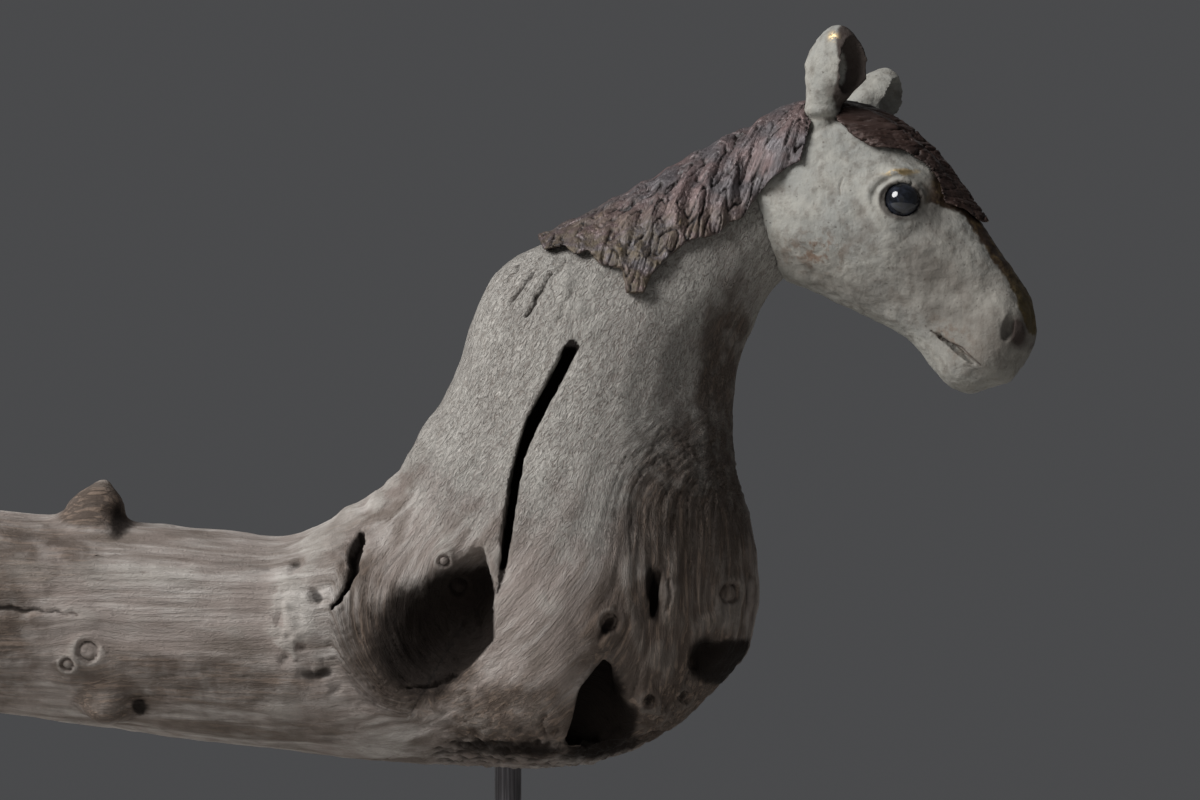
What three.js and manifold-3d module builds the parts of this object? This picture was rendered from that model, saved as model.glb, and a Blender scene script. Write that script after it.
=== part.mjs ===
// A horse sculpture: a driftwood log whose root end rises into a chest and neck, with a head, ears
// and mane modelled in clay, two glass bead eyes, and a steel rod that holds it above a base plate.
// Millimetres, +Z up. The origin is on the underside of the base plate, on the rod's axis. The horse
// faces +X, its right side is -Y, and its head is turned a little towards -Y.
import * as THREE from "three";
import { mergeVertices } from "three/addons/utils/BufferGeometryUtils.js";
import Module from "manifold-3d";

const wasm = await Module();
wasm.setup();

const GAP = 0.3; // clearance between pieces that touch
const REACH = 90; // further across than any part of the sculpture

const ROD_RADIUS = 4;
const ROD_SHOWN = 102; // from the base plate up to the wood
const ROD_IN_WOOD = 26;
const PLATE = { length: 160, width: 110, thickness: 8, corner: 6, edge: 1, socket: 5 };
const WOOD_UNDERSIDE = PLATE.thickness + ROD_SHOWN;

const HEAD_PIVOT = [84.6, 0, 171.9]; // where the neck's axis enters the head
const HEAD_TURN = THREE.MathUtils.degToRad(24); // towards -Y
const EYE_RADIUS = 5.3;
const MANE_THICKNESS = 3.2;
const NAPE_THICKNESS = 2.6;
const FORELOCK_THICKNESS = 2;
const FORELOCK_RIDGES = 0.5;
const MANE_CROWD = 0.5; // finer facets along the crest
const LOCK_SPACING = 8; // between neighbouring locks of the mane, at their roots
const LOCK_DEPTH = 1.1;

// ---- solids ----------------------------------------------------------------------------------

// The geometry as a manifold-3d solid, with its shared vertices merged.
function solid(geometry) {
  const bare = geometry.index ? geometry.toNonIndexed() : geometry.clone();
  bare.deleteAttribute("normal");
  bare.deleteAttribute("uv");
  const merged = mergeVertices(bare, 1e-3);
  const mesh = new wasm.Mesh({
    numProp: 3,
    vertProperties: merged.attributes.position.array,
    triVerts: new Uint32Array(merged.index.array),
  });
  return new wasm.Manifold(mesh);
}

function geometryOf(manifold) {
  const mesh = manifold.getMesh();
  const geometry = new THREE.BufferGeometry();
  geometry.setAttribute("position", new THREE.BufferAttribute(mesh.vertProperties, 3));
  geometry.setIndex(new THREE.BufferAttribute(mesh.triVerts, 1));
  geometry.computeVertexNormals();
  return geometry;
}

const joined = (first, ...rest) => rest.reduce((sum, next) => sum.add(next), first);
const cut = (body, ...tools) => tools.reduce((left, tool) => left.subtract(tool), body);

// An ellipsoid with its own half-axes, turned in degrees about X, Y and Z. grid is how many facets
// it has around and along.
function ellipsoid({ centre, half, turned = [0, 0, 0], grid = [12, 8] }) {
  const geometry = new THREE.SphereGeometry(1, ...grid);
  const turn = new THREE.Euler(...turned.map(THREE.MathUtils.degToRad), "XYZ");
  const place = new THREE.Matrix4().compose(
    new THREE.Vector3(...centre),
    new THREE.Quaternion().setFromEuler(turn),
    new THREE.Vector3(...half),
  );
  return solid(geometry.applyMatrix4(place));
}

// An outline in the XZ plane, made solid from y = from to y = to.
function prism(outline, from, to) {
  const shape = new THREE.Shape(outline.map(([x, z]) => new THREE.Vector2(x, z)));
  const geometry = new THREE.ExtrudeGeometry(shape, { depth: to - from, bevelEnabled: false });
  return solid(geometry.rotateX(Math.PI / 2).translate(0, to, 0));
}

function post(radius, bottom, top, sides = 18) {
  const geometry = new THREE.CylinderGeometry(radius, radius, top - bottom, sides);
  return geometry.rotateX(Math.PI / 2).translate(0, 0, (top + bottom) / 2);
}

// ---- skins pulled over cross-sections --------------------------------------------------------

// A cross-section spans from a point on the back line to a point on the belly line, both in the XZ
// plane, and is "half" wide on each side of it.
const section = (backX, backZ, bellyX, bellyZ, half) => ({
  back: new THREE.Vector3(backX, 0, backZ),
  belly: new THREE.Vector3(bellyX, 0, bellyZ),
  width: new THREE.Vector3(half, 0, 0),
});
const tip = (x, z) => section(x, z, x, z, 0);

// A closed skin over the cross-sections: a sphere's grid with one ring to each step along them.
// relief(point, side) is how far the surface stands out from the plain section, where side runs
// from -1 on the right flank to 1 on the left one. crowd, below 1, draws its rows of vertices
// together along the back.
function skin(sections, around, along, relief, crowd = 0) {
  const line = (key) => new THREE.CatmullRomCurve3(sections.map((s) => s[key]), false, "centripetal");
  const [backs, bellies, widths] = ["back", "belly", "width"].map(line);
  const geometry = new THREE.SphereGeometry(1, around, along);
  const position = geometry.attributes.position;
  for (let ring = 0; ring <= along; ring++) {
    const [back, belly] = [backs.getPoint(ring / along), bellies.getPoint(ring / along)];
    const half = Math.max(widths.getPoint(ring / along).x, 1e-6);
    const centre = back.clone().add(belly).multiplyScalar(0.5);
    const rise = back.clone().sub(belly).multiplyScalar(0.5);
    const height = Math.max(rise.length(), 1e-6);
    const end = ring === 0 || ring === along;
    for (let step = 0; step <= around; step++) {
      const even = (2 * Math.PI * (step % around)) / around;
      const angle = even - crowd * Math.sin(even);
      const [up, side] = [Math.cos(angle), Math.sin(angle)];
      const point = centre.clone().addScaledVector(rise, up);
      point.y += half * side;
      if (!end) {
        const out = rise.clone().multiplyScalar(up / height ** 2);
        out.y += side / half;
        point.addScaledVector(out.normalize(), relief(point, side));
      }
      position.setXYZ(ring * (around + 1) + step, ...point);
    }
  }
  const made = solid(geometry);
  return made.volume() > 0 ? made : solid(flipped(geometry));
}

function flipped(geometry) {
  const index = geometry.index.array;
  for (let i = 0; i < index.length; i += 3) [index[i], index[i + 1]] = [index[i + 1], index[i]];
  return geometry;
}

// A rounded rise of the surface, or a dip where its height is negative. It lies at x, z with the
// radii rx and rz, turned by tilt degrees, on the right flank (-1), the left one (1) or both (0).
// A steepness above 1 gives it a flatter top and a clearer edge.
const rise = (x, z, rx, rz, height, flank = 0, tilt = 0, steepness = 1) => ({
  ...{ x, z, rx, rz, height, flank, tilt, steepness },
});

function reliefOf(rises) {
  const turned = rises.map((r) => ({ ...r, angle: THREE.MathUtils.degToRad(r.tilt) }));
  return (point, side) => {
    let sum = 0;
    for (const r of turned) {
      if (r.flank * side < 0) continue;
      const [dx, dz] = [point.x - r.x, point.z - r.z];
      const along = (dx * Math.cos(r.angle) + dz * Math.sin(r.angle)) / r.rx;
      const across = (dz * Math.cos(r.angle) - dx * Math.sin(r.angle)) / r.rz;
      sum += r.height * Math.exp(-((along * along + across * across) ** r.steepness));
    }
    return sum * Math.min(1, Math.abs(side) / 0.4);
  };
}

// ---- driftwood: log, chest and neck, with z = 0 where the rod enters it ------------------------

const WOOD_SECTIONS = [
  tip(-221, 52),
  section(-219, 72, -219, 33, 21),
  section(-212, 78.5, -213, 27, 26.5),
  section(-196, 79, -198, 23, 28.5),
  section(-173, 76.5, -174, 18.5, 30),
  section(-150, 75, -150, 14.5, 31),
  section(-121, 72.6, -121, 10.5, 31.5),
  section(-92, 70.8, -92, 7, 32),
  section(-66, 68, -63, 3.6, 32),
  section(-54, 72, -36, 0.4, 33),
  section(-42.5, 79.5, -8, -1, 36),
  section(-34, 86, 21, -1.2, 39),
  section(-29, 95, 45, 7.4, 40),
  section(-25.5, 101.5, 69, 29, 39),
  section(-20.5, 108, 73.5, 36.5, 38),
  section(-16, 117, 74.9, 64.5, 37),
  section(-12, 129, 70.6, 80, 35),
  section(-8, 139.5, 68, 92, 32),
  section(-1.5, 149.5, 67.8, 109, 29),
  section(10, 155.8, 69.6, 120.5, 26),
  section(26, 163.2, 73.4, 130, 22.5),
  section(43.5, 172.4, 78, 140, 19.5),
  section(59.5, 181.4, 84, 146.5, 16),
  section(72, 187.5, 89, 152, 12.5),
  section(85, 187, 93, 161, 9),
  tip(94, 173),
];

const WOOD_RISES = [
  // the right shoulder, a smooth panel that widens downwards and ends in a broken foot
  rise(19, 62, 17, 30, 3, -1, -12),
  rise(14, 24, 20, 20, 5, -1, 0, 2),
  rise(12, 11, 22, 8, 3.5, -1, 0, 1.5),
  // the sunken band behind the shoulder crack, and the withers above it
  rise(-6, 92, 9, 28, -3, -1, -20),
  rise(-27, 42, 19, 17, -5, -1, 35),
  rise(4, 140, 12, 8, 1.5, -1, 30),
  // the chest's front corner, the lobe in front of its recess, and the hollow line of the throat
  rise(52, 26, 9, 10, 2.5, -1),
  rise(42, 19, 6.5, 9, 4, -1, 15, 1.4),
  rise(62, 62, 12, 18, -2.5, -1),
  rise(58, 118, 8, 26, -2, 0, -30),
  rise(40, 128, 12, 26, 1.5, 0, -30),
  // the log's swellings, knots and dips
  rise(-127, 36, 18, 12, -2, -1, -10),
  rise(-50, 58, 15, 16, 2.5, -1, 40),
  rise(-84, 40, 26, 12, -1.6, -1, -4),
  rise(-180, 46, 24, 14, -2.2, -1, 5),
  rise(-150, 60, 24, 12, 1.6, -1, -6),
  // the left flank, plainer
  rise(20, 55, 24, 34, 4, 1, -10),
  rise(-14, 60, 12, 26, -4, 1, -20),
  rise(-60, 50, 22, 14, 2, 1, 10),
  rise(-110, 40, 30, 10, -2.5, 1, -5),
  rise(-160, 58, 24, 12, 2, 1),
];

// The drying crack that runs down behind the shoulder.
const CRACK_OUTLINE = [
  [17.2, 124.4],
  [21.7, 124.4],
  [17.4, 115.3],
  [10.2, 102.4],
  [6.6, 94.3],
  [4.5, 85.5],
  [2.6, 73.5],
  [0.7, 61.8],
  [-2.4, 53],
  [-1.5, 61.8],
  [-0.5, 74.7],
  [1.3, 85.5],
  [3.5, 95.7],
  [6, 103],
  [13.7, 117.7],
];
const CRACK_BOTTOM = -14; // how deep the crack goes, as a y

const WOOD_HOLLOWS = [
  // the deep end of the shoulder hollow, under the shoulder's edge
  { centre: [-7, -30, 47.5], half: [6, 10.5, 14.5], turned: [0, 6, 0], grid: [10, 8] },
  // under the shoulder's broken foot
  { centre: [9, -37, -2.5], half: [28, 14, 8.5], turned: [0, -2, 0], grid: [14, 8] },
  // the chest's long knot hole, and the hole in the log's knot
  { centre: [43.5, -36, 52.5], half: [1.9, 9, 9.5], turned: [0, 8, 0], grid: [8, 7] },
  { centre: [-113.5, -30, 16], half: [2.8, 6, 3.4], grid: [8, 6] },
];

// The hollow behind the shoulder: a wide bowl that ends against the shoulder's edge.
const HOLLOW_OUTLINE = [
  [-9, 80],
  [-5.5, 63],
  [-3.3, 53],
  [-3.2, 39.5],
  [-7.7, 34],
  [-14, 27.5],
  [-22, 20],
  [-60, 20],
  [-60, 80],
];
const HOLLOW_BOWL = { centre: [-9, -46, 45.5], half: [33, 25, 20], turned: [0, -35, 0], grid: [20, 12] };

// The recess in the chest's foot, and the notch under the ledge at its front corner.
const RECESS_OUTLINE = [
  [28.5, 34],
  [21.5, 25],
  [19.7, 17],
  [17, 8.5],
  [36.5, 8.5],
  [35, 17],
  [31.7, 25],
  [31, 32],
];
const RECESS_BOTTOM = -24;
const NOTCH_OUTLINE = [
  [53, 32],
  [57, 37.3],
  [80, 37.3],
  [76, 26],
  [66, 22],
  [58, 25],
];
const NOTCH_BOTTOM = -18;

const LOG_KNOT = { centre: [-117.5, -22.5, 18], half: [8, 6.5, 7], grid: [10, 7] };

const STUB = { x: -127, y: -3, foot: 68, shoulder: 78.5, peak: 85, radii: [13.5, 8.5, 1.6], lean: 6 };

// A broken branch: a blunt, steep-shouldered cone that leans towards +X.
function branchStub() {
  const [height, shoulder] = [STUB.peak - STUB.foot, STUB.shoulder - STUB.foot];
  const [atFoot, atShoulder, atPeak] = STUB.radii;
  const outline = [
    [0, 0],
    [atFoot, 0],
    [atShoulder, shoulder],
    [atPeak, height],
    [0, height],
  ].map(([radius, z]) => new THREE.Vector2(radius, z));
  const geometry = new THREE.LatheGeometry(outline, 12).rotateX(Math.PI / 2);
  const lean = new THREE.Matrix4().makeShear(0, 0, 0, 0, STUB.lean / height, 0);
  return solid(geometry.applyMatrix4(lean).translate(STUB.x, STUB.y, STUB.foot));
}

function driftwood(swell, detailed) {
  const relief = reliefOf(WOOD_RISES);
  const body = skin(WOOD_SECTIONS, 26, 45, (point, side) => relief(point, side) + swell);
  if (!detailed) return body;
  return cut(
    joined(body, branchStub(), ellipsoid(LOG_KNOT)),
    prism(CRACK_OUTLINE, -REACH, CRACK_BOTTOM),
    prism(HOLLOW_OUTLINE, -REACH, 0).intersect(ellipsoid(HOLLOW_BOWL)),
    prism(RECESS_OUTLINE, -REACH, RECESS_BOTTOM),
    prism(NOTCH_OUTLINE, -REACH, NOTCH_BOTTOM),
    ...WOOD_HOLLOWS.map(ellipsoid),
    solid(post(ROD_RADIUS + GAP, -REACH, ROD_IN_WOOD + GAP)),
  );
}

// ---- head, in its own frame: origin at the pivot, before it is turned --------------------------

const HEAD_SECTIONS = [
  tip(-19, 2),
  section(-14, 13, -18, -11, 12),
  section(-6.5, 20.5, -13.5, -19.5, 17),
  section(6, 24.8, -5, -25.5, 18.4),
  section(18, 24.4, 3.5, -29, 19.2),
  section(31, 20.3, 12.5, -32.7, 19.5),
  section(43.3, 10.9, 22, -37.2, 19.3),
  section(53.4, -1.2, 31.4, -41.3, 16.5),
  section(62, -13.8, 40, -46.8, 13.5),
  section(70.7, -25.8, 46, -54, 12),
  section(75.3, -34.6, 51.4, -59.3, 12.3),
  section(76.6, -42.3, 57, -61.2, 11),
  section(73.4, -50.5, 62, -59.6, 8.5),
  tip(69.5, -57.5),
];

const EYE = { x: 41, y: 14.9, z: -4.6 };
const EYE_SOCKET = { centre: [EYE.x, EYE.y, EYE.z], half: Array(3).fill(EYE_RADIUS + GAP) };
const NOSTRIL = { centre: [72, 12, -42], half: [1.8, 5, 4.8], turned: [0, 12, 0], grid: [8, 6] };
const MOUTH = { centre: [56, 12, -48], half: [9.5, 4, 0.9], turned: [0, 36, 0], grid: [8, 6] };
const HEAD_RISES = [
  rise(13, -14, 13, 13, 2.2), // cheek
  rise(EYE.x - 2, EYE.z + 6.5, 9, 3.2, 1.8, 0, -12), // brow
  rise(EYE.x - 1, EYE.z - 1, 9, 8, 1.2), // eye socket's rim
  rise(25, 10, 8, 5, -1.3, 0, -20), // temple
  rise(EYE.x + 9.5, EYE.z - 3, 4, 8, -1.8, 0, -30), // hollow in front of the eye
  rise(49, -20, 13, 2.8, 1.2, 0, -40), // facial crest
  rise(33, -29, 12, 5, -1.4, 0, -30), // hollow between cheek and jaw
  rise(54, -32, 9, 6, -1.1, 0, -42),
  rise(70, -39, 5, 7, 1.7), // nostril's wing
  rise(54, -54, 6.5, 4.5, 1.8, 0, -40), // chin and lower lip
  rise(66, -51, 5, 5, 1.3), // upper lip
  rise(62.5, -57.5, 2, 5, -1.4, 0, 20), // notch between the lips
];

// An ear like a thick leaf on a short stem, upright, cupped towards +X, with its foot at the origin.
const EAR_SECTIONS = [
  tip(0, -6),
  section(-4.5, -4, 4.5, -4, 4),
  section(-4.7, 1, 5, 1, 4.2),
  section(-4.9, 6, 10, 6, 5.5),
  section(-4.8, 11.5, 15.8, 10.6, 6.4),
  section(-4, 17, 16, 17.5, 6.2),
  section(-1, 22, 12.6, 23.2, 4.8),
  section(2.8, 25.4, 8.6, 26.4, 2.4),
  tip(5.6, 27),
];
const EAR_SCOOP = { centre: [15, -1.5, 13.5], half: [8.5, 4.6, 10.5], grid: [10, 7] };
const EARS = [
  { foot: [13.5, -9.5, 21], lean: [3, 0, -12], size: 1 },
  { foot: [15.2, 9.5, 19.8], lean: [-38, 10, 6], size: 0.86 },
];

function ear({ foot, lean, size }, swell) {
  const leaf = skin(EAR_SECTIONS, 12, 10, () => swell);
  const half = EAR_SCOOP.half.map((radius) => radius - swell);
  return cut(leaf, ellipsoid({ ...EAR_SCOOP, half })).scale(size).rotate(lean).translate(foot);
}

function head(swell, detailed) {
  const relief = reliefOf(HEAD_RISES);
  const skull = skin(HEAD_SECTIONS, 22, 26, (point, side) => relief(point, side) + swell);
  const blank = joined(skull, ...EARS.map((one) => ear(one, swell)));
  if (!detailed) return blank;
  const hollows = [-1, 1].flatMap((side) =>
    [EYE_SOCKET, NOSTRIL, MOUTH].map(({ centre: [x, y, z], ...shape }) =>
      ellipsoid({ centre: [x, side * y, z], ...shape }),
    ),
  );
  return cut(blank, ...hollows);
}

const atHead = (manifold) =>
  manifold.rotate([0, 0, -THREE.MathUtils.radToDeg(HEAD_TURN)]).translate(HEAD_PIVOT);

// ---- mane --------------------------------------------------------------------------------------

const MANE_OUTLINE = [
  [11, 153.4],
  [9, 158.5],
  [27.6, 173],
  [57.6, 189.5],
  [84, 204],
  [93.5, 201],
  [90.4, 192],
  [86.4, 179.5],
  [78.2, 174.2],
  [72.9, 167.4],
  [70.2, 162.7],
  [65.5, 161.2],
  [62.8, 158],
  [54.1, 155.9],
  [47.3, 150.6],
  [42.6, 145.9],
  [40.6, 140.4],
  [35.2, 140.2],
  [34, 147.7],
  [27.9, 148.6],
  [24, 153.2],
  [20.5, 151.6],
  [17, 154.6],
];

// In the head's own frame, before it is turned.
const FORELOCK_OUTLINE = [
  [2, 24],
  [2, 34],
  [34, 34],
  [66, 8],
  [72, -10],
  [61, -10.5],
  [57, -7],
  [52, -5],
  [51, -1],
  [49.3, 3],
  [46, 6.5],
  [40, 10.5],
  [31, 11.5],
  [25, 15],
  [21, 18.5],
  [16, 24],
];

// How far a lock of hair has swung back towards the withers at a depth below the crest.
const swing = (depth) => 9 * (1 - Math.exp(-depth / 8)) + 0.28 * depth;

// Locks as ridges that leave the crest backwards and then hang down, fainter along the crest.
function locks(point, side) {
  const crest = 159 + 0.545 * (point.x - 9);
  const root = point.x + swing(Math.max(crest - point.z, 0));
  const depth = LOCK_DEPTH * Math.min(1, 0.3 + Math.abs(side));
  return depth * Math.cos((2 * Math.PI * root) / LOCK_SPACING);
}

function mane() {
  const woodRelief = reliefOf(WOOD_RISES);
  const headRelief = reliefOf(HEAD_RISES);
  const turn = new THREE.Matrix4().makeRotationZ(-HEAD_TURN).setPosition(...HEAD_PIVOT);
  const onNeck = (point, side) => woodRelief(point, side) + MANE_THICKNESS + locks(point, side);
  const onNape = (point, side) =>
    headRelief(point, side) + NAPE_THICKNESS + locks(point.clone().applyMatrix4(turn), side);
  const onForehead = (point, side) =>
    headRelief(point, side) + FORELOCK_THICKNESS + FORELOCK_RIDGES * Math.cos(point.y);

  const neckSections = [tip(38, 105), ...WOOD_SECTIONS.slice(17)];
  const neckHair = skin(neckSections, 36, 35, onNeck, MANE_CROWD);
  const napeSections = [...HEAD_SECTIONS.slice(0, 6), tip(34, -10)];
  const napeHair = atHead(skin(napeSections, 22, 15, onNape, MANE_CROWD));
  const foreheadHair = atHead(skin(HEAD_SECTIONS, 22, 22, onForehead, MANE_CROWD));
  const throughMane = prism(MANE_OUTLINE, -REACH, REACH);
  const throughForelock = atHead(prism(FORELOCK_OUTLINE, -REACH, REACH));
  const hair = joined(
    neckHair.intersect(throughMane),
    napeHair.intersect(throughMane),
    foreheadHair.intersect(throughForelock),
  );
  return cut(hair, driftwood(GAP, false), atHead(head(GAP, false)));
}

// ---- stand -------------------------------------------------------------------------------------

function basePlate() {
  const { length, width, thickness, corner, edge, socket } = PLATE;
  const [x, y, r] = [length / 2 - edge, width / 2 - edge, corner - edge];
  const outline = new THREE.Shape();
  outline.absarc(x - r, y - r, r, 0, Math.PI / 2);
  outline.absarc(r - x, y - r, r, Math.PI / 2, Math.PI);
  outline.absarc(r - x, r - y, r, Math.PI, 1.5 * Math.PI);
  outline.absarc(x - r, r - y, r, 1.5 * Math.PI, 2 * Math.PI);
  const bevel = { bevelThickness: edge, bevelSize: edge, bevelSegments: 1 };
  const depth = thickness - 2 * edge;
  const plate = new THREE.ExtrudeGeometry(outline, { depth, curveSegments: 3, ...bevel });
  const hole = post(ROD_RADIUS + GAP, thickness - socket, REACH);
  return cut(solid(plate.translate(0, 0, edge)), solid(hole));
}

const rod = () => post(ROD_RADIUS, PLATE.thickness - PLATE.socket + GAP, WOOD_UNDERSIDE + ROD_IN_WOOD, 24);

const eye = () => new THREE.SphereGeometry(EYE_RADIUS, 12, 7);

// ---- the scene graph ---------------------------------------------------------------------------

const FINISH = {
  driftwood: { color: 0x776d63, roughness: 0.9, metalness: 0 },
  clay: { color: 0x8d897e, roughness: 0.8, metalness: 0 },
  maneClay: { color: 0x4f4342, roughness: 0.5, metalness: 0.3 },
  bead: { color: 0x0c0d10, roughness: 0.08, metalness: 0 },
  steel: { color: 0x4c4a4c, roughness: 0.4, metalness: 1 },
  patina: { color: 0x2c2a29, roughness: 0.55, metalness: 0.9 },
};

function node(name, geometry, finish) {
  const mesh = new THREE.Mesh(geometry, new THREE.MeshStandardMaterial(FINISH[finish]));
  mesh.name = name;
  return mesh;
}

const wood = driftwood(0, true);
const horse = new THREE.Group();
horse.position.z = WOOD_UNDERSIDE;
horse.add(node("driftwood", geometryOf(wood), "driftwood"));
const headOnNeck = cut(atHead(head(0, true)), driftwood(GAP, false));
horse.add(node("clay_head", geometryOf(headOnNeck), "clay"));
horse.add(node("clay_mane", geometryOf(mane()), "maneClay"));

const turnedHead = new THREE.Group();
turnedHead.position.set(...HEAD_PIVOT);
turnedHead.rotation.z = -HEAD_TURN;
for (const [name, side] of [["right_eye", -1], ["left_eye", 1]]) {
  const bead = node(name, eye(), "bead");
  bead.position.set(EYE.x, side * EYE.y, EYE.z);
  turnedHead.add(bead);
}
horse.add(turnedHead);

const sculpture = new THREE.Group();
sculpture.add(node("base_plate", geometryOf(basePlate()), "patina"));
sculpture.add(node("steel_rod", rod(), "steel"));
sculpture.add(horse);

export default sculpture;
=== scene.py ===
"""Finishes a driftwood horse sculpture: fine carving, paint and patina over its plain solids."""

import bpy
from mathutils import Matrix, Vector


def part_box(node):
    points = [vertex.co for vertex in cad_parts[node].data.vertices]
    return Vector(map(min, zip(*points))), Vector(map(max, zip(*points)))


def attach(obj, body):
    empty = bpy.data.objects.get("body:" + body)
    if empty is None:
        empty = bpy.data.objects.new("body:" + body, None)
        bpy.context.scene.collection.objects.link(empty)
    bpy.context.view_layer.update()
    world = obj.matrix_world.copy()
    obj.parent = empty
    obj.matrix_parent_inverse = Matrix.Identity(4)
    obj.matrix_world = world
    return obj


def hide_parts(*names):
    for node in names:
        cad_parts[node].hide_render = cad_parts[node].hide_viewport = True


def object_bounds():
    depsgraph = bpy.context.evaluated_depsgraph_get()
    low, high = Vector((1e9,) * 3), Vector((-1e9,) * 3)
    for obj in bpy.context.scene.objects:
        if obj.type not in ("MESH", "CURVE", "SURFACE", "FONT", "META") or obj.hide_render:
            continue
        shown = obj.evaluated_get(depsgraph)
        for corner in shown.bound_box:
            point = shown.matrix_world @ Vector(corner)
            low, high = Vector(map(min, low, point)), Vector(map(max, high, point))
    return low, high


bl_info = {
    "name": "Driftwood Horse Sculpture",
    "version": (1, 0, 0),
    "blender": (4, 5, 0),
    "location": "View3D > Sidebar > Sculpture",
    "description": "Carves and paints a driftwood horse over its plain solids, and lights it",
    "category": "Object",
}

from itertools import product
from math import atan2, ceil, cos, pi, radians, sin, tau

import bmesh
import bpy
import numpy as np
from bpy.props import FloatProperty, FloatVectorProperty, PointerProperty
from mathutils import Matrix, Vector, kdtree

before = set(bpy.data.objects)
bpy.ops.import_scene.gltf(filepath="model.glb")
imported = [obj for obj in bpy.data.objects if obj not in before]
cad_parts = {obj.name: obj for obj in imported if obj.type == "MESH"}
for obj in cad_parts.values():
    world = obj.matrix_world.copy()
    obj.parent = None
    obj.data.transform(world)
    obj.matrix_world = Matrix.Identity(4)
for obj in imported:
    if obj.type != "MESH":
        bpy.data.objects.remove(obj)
SOLID_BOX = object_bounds()

MM = 0.001
MOST_TRIANGLES = 196000  # in one piece
BOX_SLACK = 0.02  # how far a carved piece may stand out of its solid's box, as a share of each side


def millimetres(corner):
    return np.array(corner) / MM


ROD_IN_WOOD = 26.0
ROD_TOP = millimetres(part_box("steel_rod")[1])[2]
WOOD_FOOT = np.array([0.0, 0.0, ROD_TOP - ROD_IN_WOOD])  # where the rod enters the wood

HEAD_PIVOT = WOOD_FOOT + (84.6, 0.0, 171.9)
HEAD_TURN = radians(24)


# ---- numbers over many points ------------------------------------------------------------------

SLOPES = np.random.default_rng(7).normal(size=(64, 3))
SLOPES /= np.linalg.norm(SLOPES, axis=1)[:, None]
CELL_KEYS = np.array([73856093, 19349663, 83492791])
SEED_KEY = 2654435761
MIX_KEY = 668265263


def ease(value, low, high):
    """0 below low, 1 above high, and an even curve between them. low may be the larger one."""
    share = np.clip((value - low) / (high - low), 0, 1)
    return share * share * (3 - 2 * share)


def noise(points, seed=0):
    """Smooth gradient noise between about -1 and 1, with one wave to each unit."""
    cell = np.floor(points).astype(np.int64)
    inside = points - cell
    fade = inside**3 * (inside * (inside * 6 - 15) + 10)
    total = np.zeros(len(points))
    for step in product((0, 1), repeat=3):
        key = (cell + step) @ CELL_KEYS + seed * SEED_KEY
        key = (key ^ (key >> 13)) * MIX_KEY
        slope = SLOPES[(key ^ (key >> 15)) & 63]
        weight = np.prod(np.where(step, fade, 1 - fade), axis=1)
        total += weight * ((inside - step) * slope).sum(axis=1)
    return total * 1.7


def stretched(along, across, depth, run, spacing, seed=0):
    """Noise drawn out along the grain: run long and spacing wide, in millimetres."""
    return noise(np.column_stack([along / run, across / spacing, depth / spacing]), seed)


def valleys(value, width):
    """1 along the lines where the noise crosses zero, falling to 0 within width of them."""
    return np.clip(1 - np.abs(value) / width, 0, 1) ** 2


def spot(x, z, centre, radii, tilt=0, steepness=1):
    """A soft patch in the XZ plane: 1 at its centre, 0.37 at its radii, tilted by degrees."""
    (cx, cz), (rx, rz), turn = centre, radii, radians(tilt)
    along = ((x - cx) * cos(turn) + (z - cz) * sin(turn)) / rx
    across = ((z - cz) * cos(turn) - (x - cx) * sin(turn)) / rz
    return np.exp(-((along**2 + across**2) ** steepness))


def scattered(x, z, places, steepness=1.5):
    """The sum of soft patches, each with its place, radii, tilt and amount."""
    total = np.zeros(len(x))
    for place, radii, tilt, amount in places:
        total += amount * spot(x, z, place, radii, tilt, steepness)
    return total


def follow(value, path):
    """The second number of a path of pairs where its first one has the value."""
    first, second = zip(*path)
    return np.interp(value, first, second)


def beside(x, z, path):
    """For each point, its distance from a path of (x, z, half width) and the half width there."""
    nearest = np.full(len(x), np.inf)
    width = np.zeros(len(x))
    for (ax, az, aw), (bx, bz, bw) in zip(path, path[1:]):
        run = (bx - ax) ** 2 + (bz - az) ** 2
        share = np.clip(((x - ax) * (bx - ax) + (z - az) * (bz - az)) / run, 0, 1)
        away = np.hypot(x - ax - share * (bx - ax), z - az - share * (bz - az))
        closer = away < nearest
        nearest = np.where(closer, away, nearest)
        width = np.where(closer, aw + share * (bw - aw), width)
    return nearest, width


def groove(x, z, path):
    """1 in the middle of a path of (x, z, half width), falling to 0 at its edges."""
    away, width = beside(x, z, path)
    return 1 - ease(away, 0.25 * width, width + 0.01)


# ---- blanks: fine copies of the solids that can be carved ---------------------------------------


def crease_points(mesh, sharpest=radians(33), step=0.4 * MM):
    """Points along the solid's true edges, which stay crisp while its facets are smoothed."""
    work = bmesh.new()
    work.from_mesh(mesh)
    bmesh.ops.remove_doubles(work, verts=work.verts, dist=0.01 * MM)
    found = []
    for edge in work.edges:
        if edge.is_manifold and edge.calc_face_angle() > sharpest:
            start, end = (corner.co for corner in edge.verts)
            parts = max(1, ceil(edge.calc_length() / step))
            found += [start.lerp(end, part / parts) for part in range(parts + 1)]
    work.free()
    return found


def read(collection, name, width, kind=np.float64):
    values = np.empty(len(collection) * width, kind)
    collection.foreach_get(name, values)
    return values.reshape(-1, width)


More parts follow.
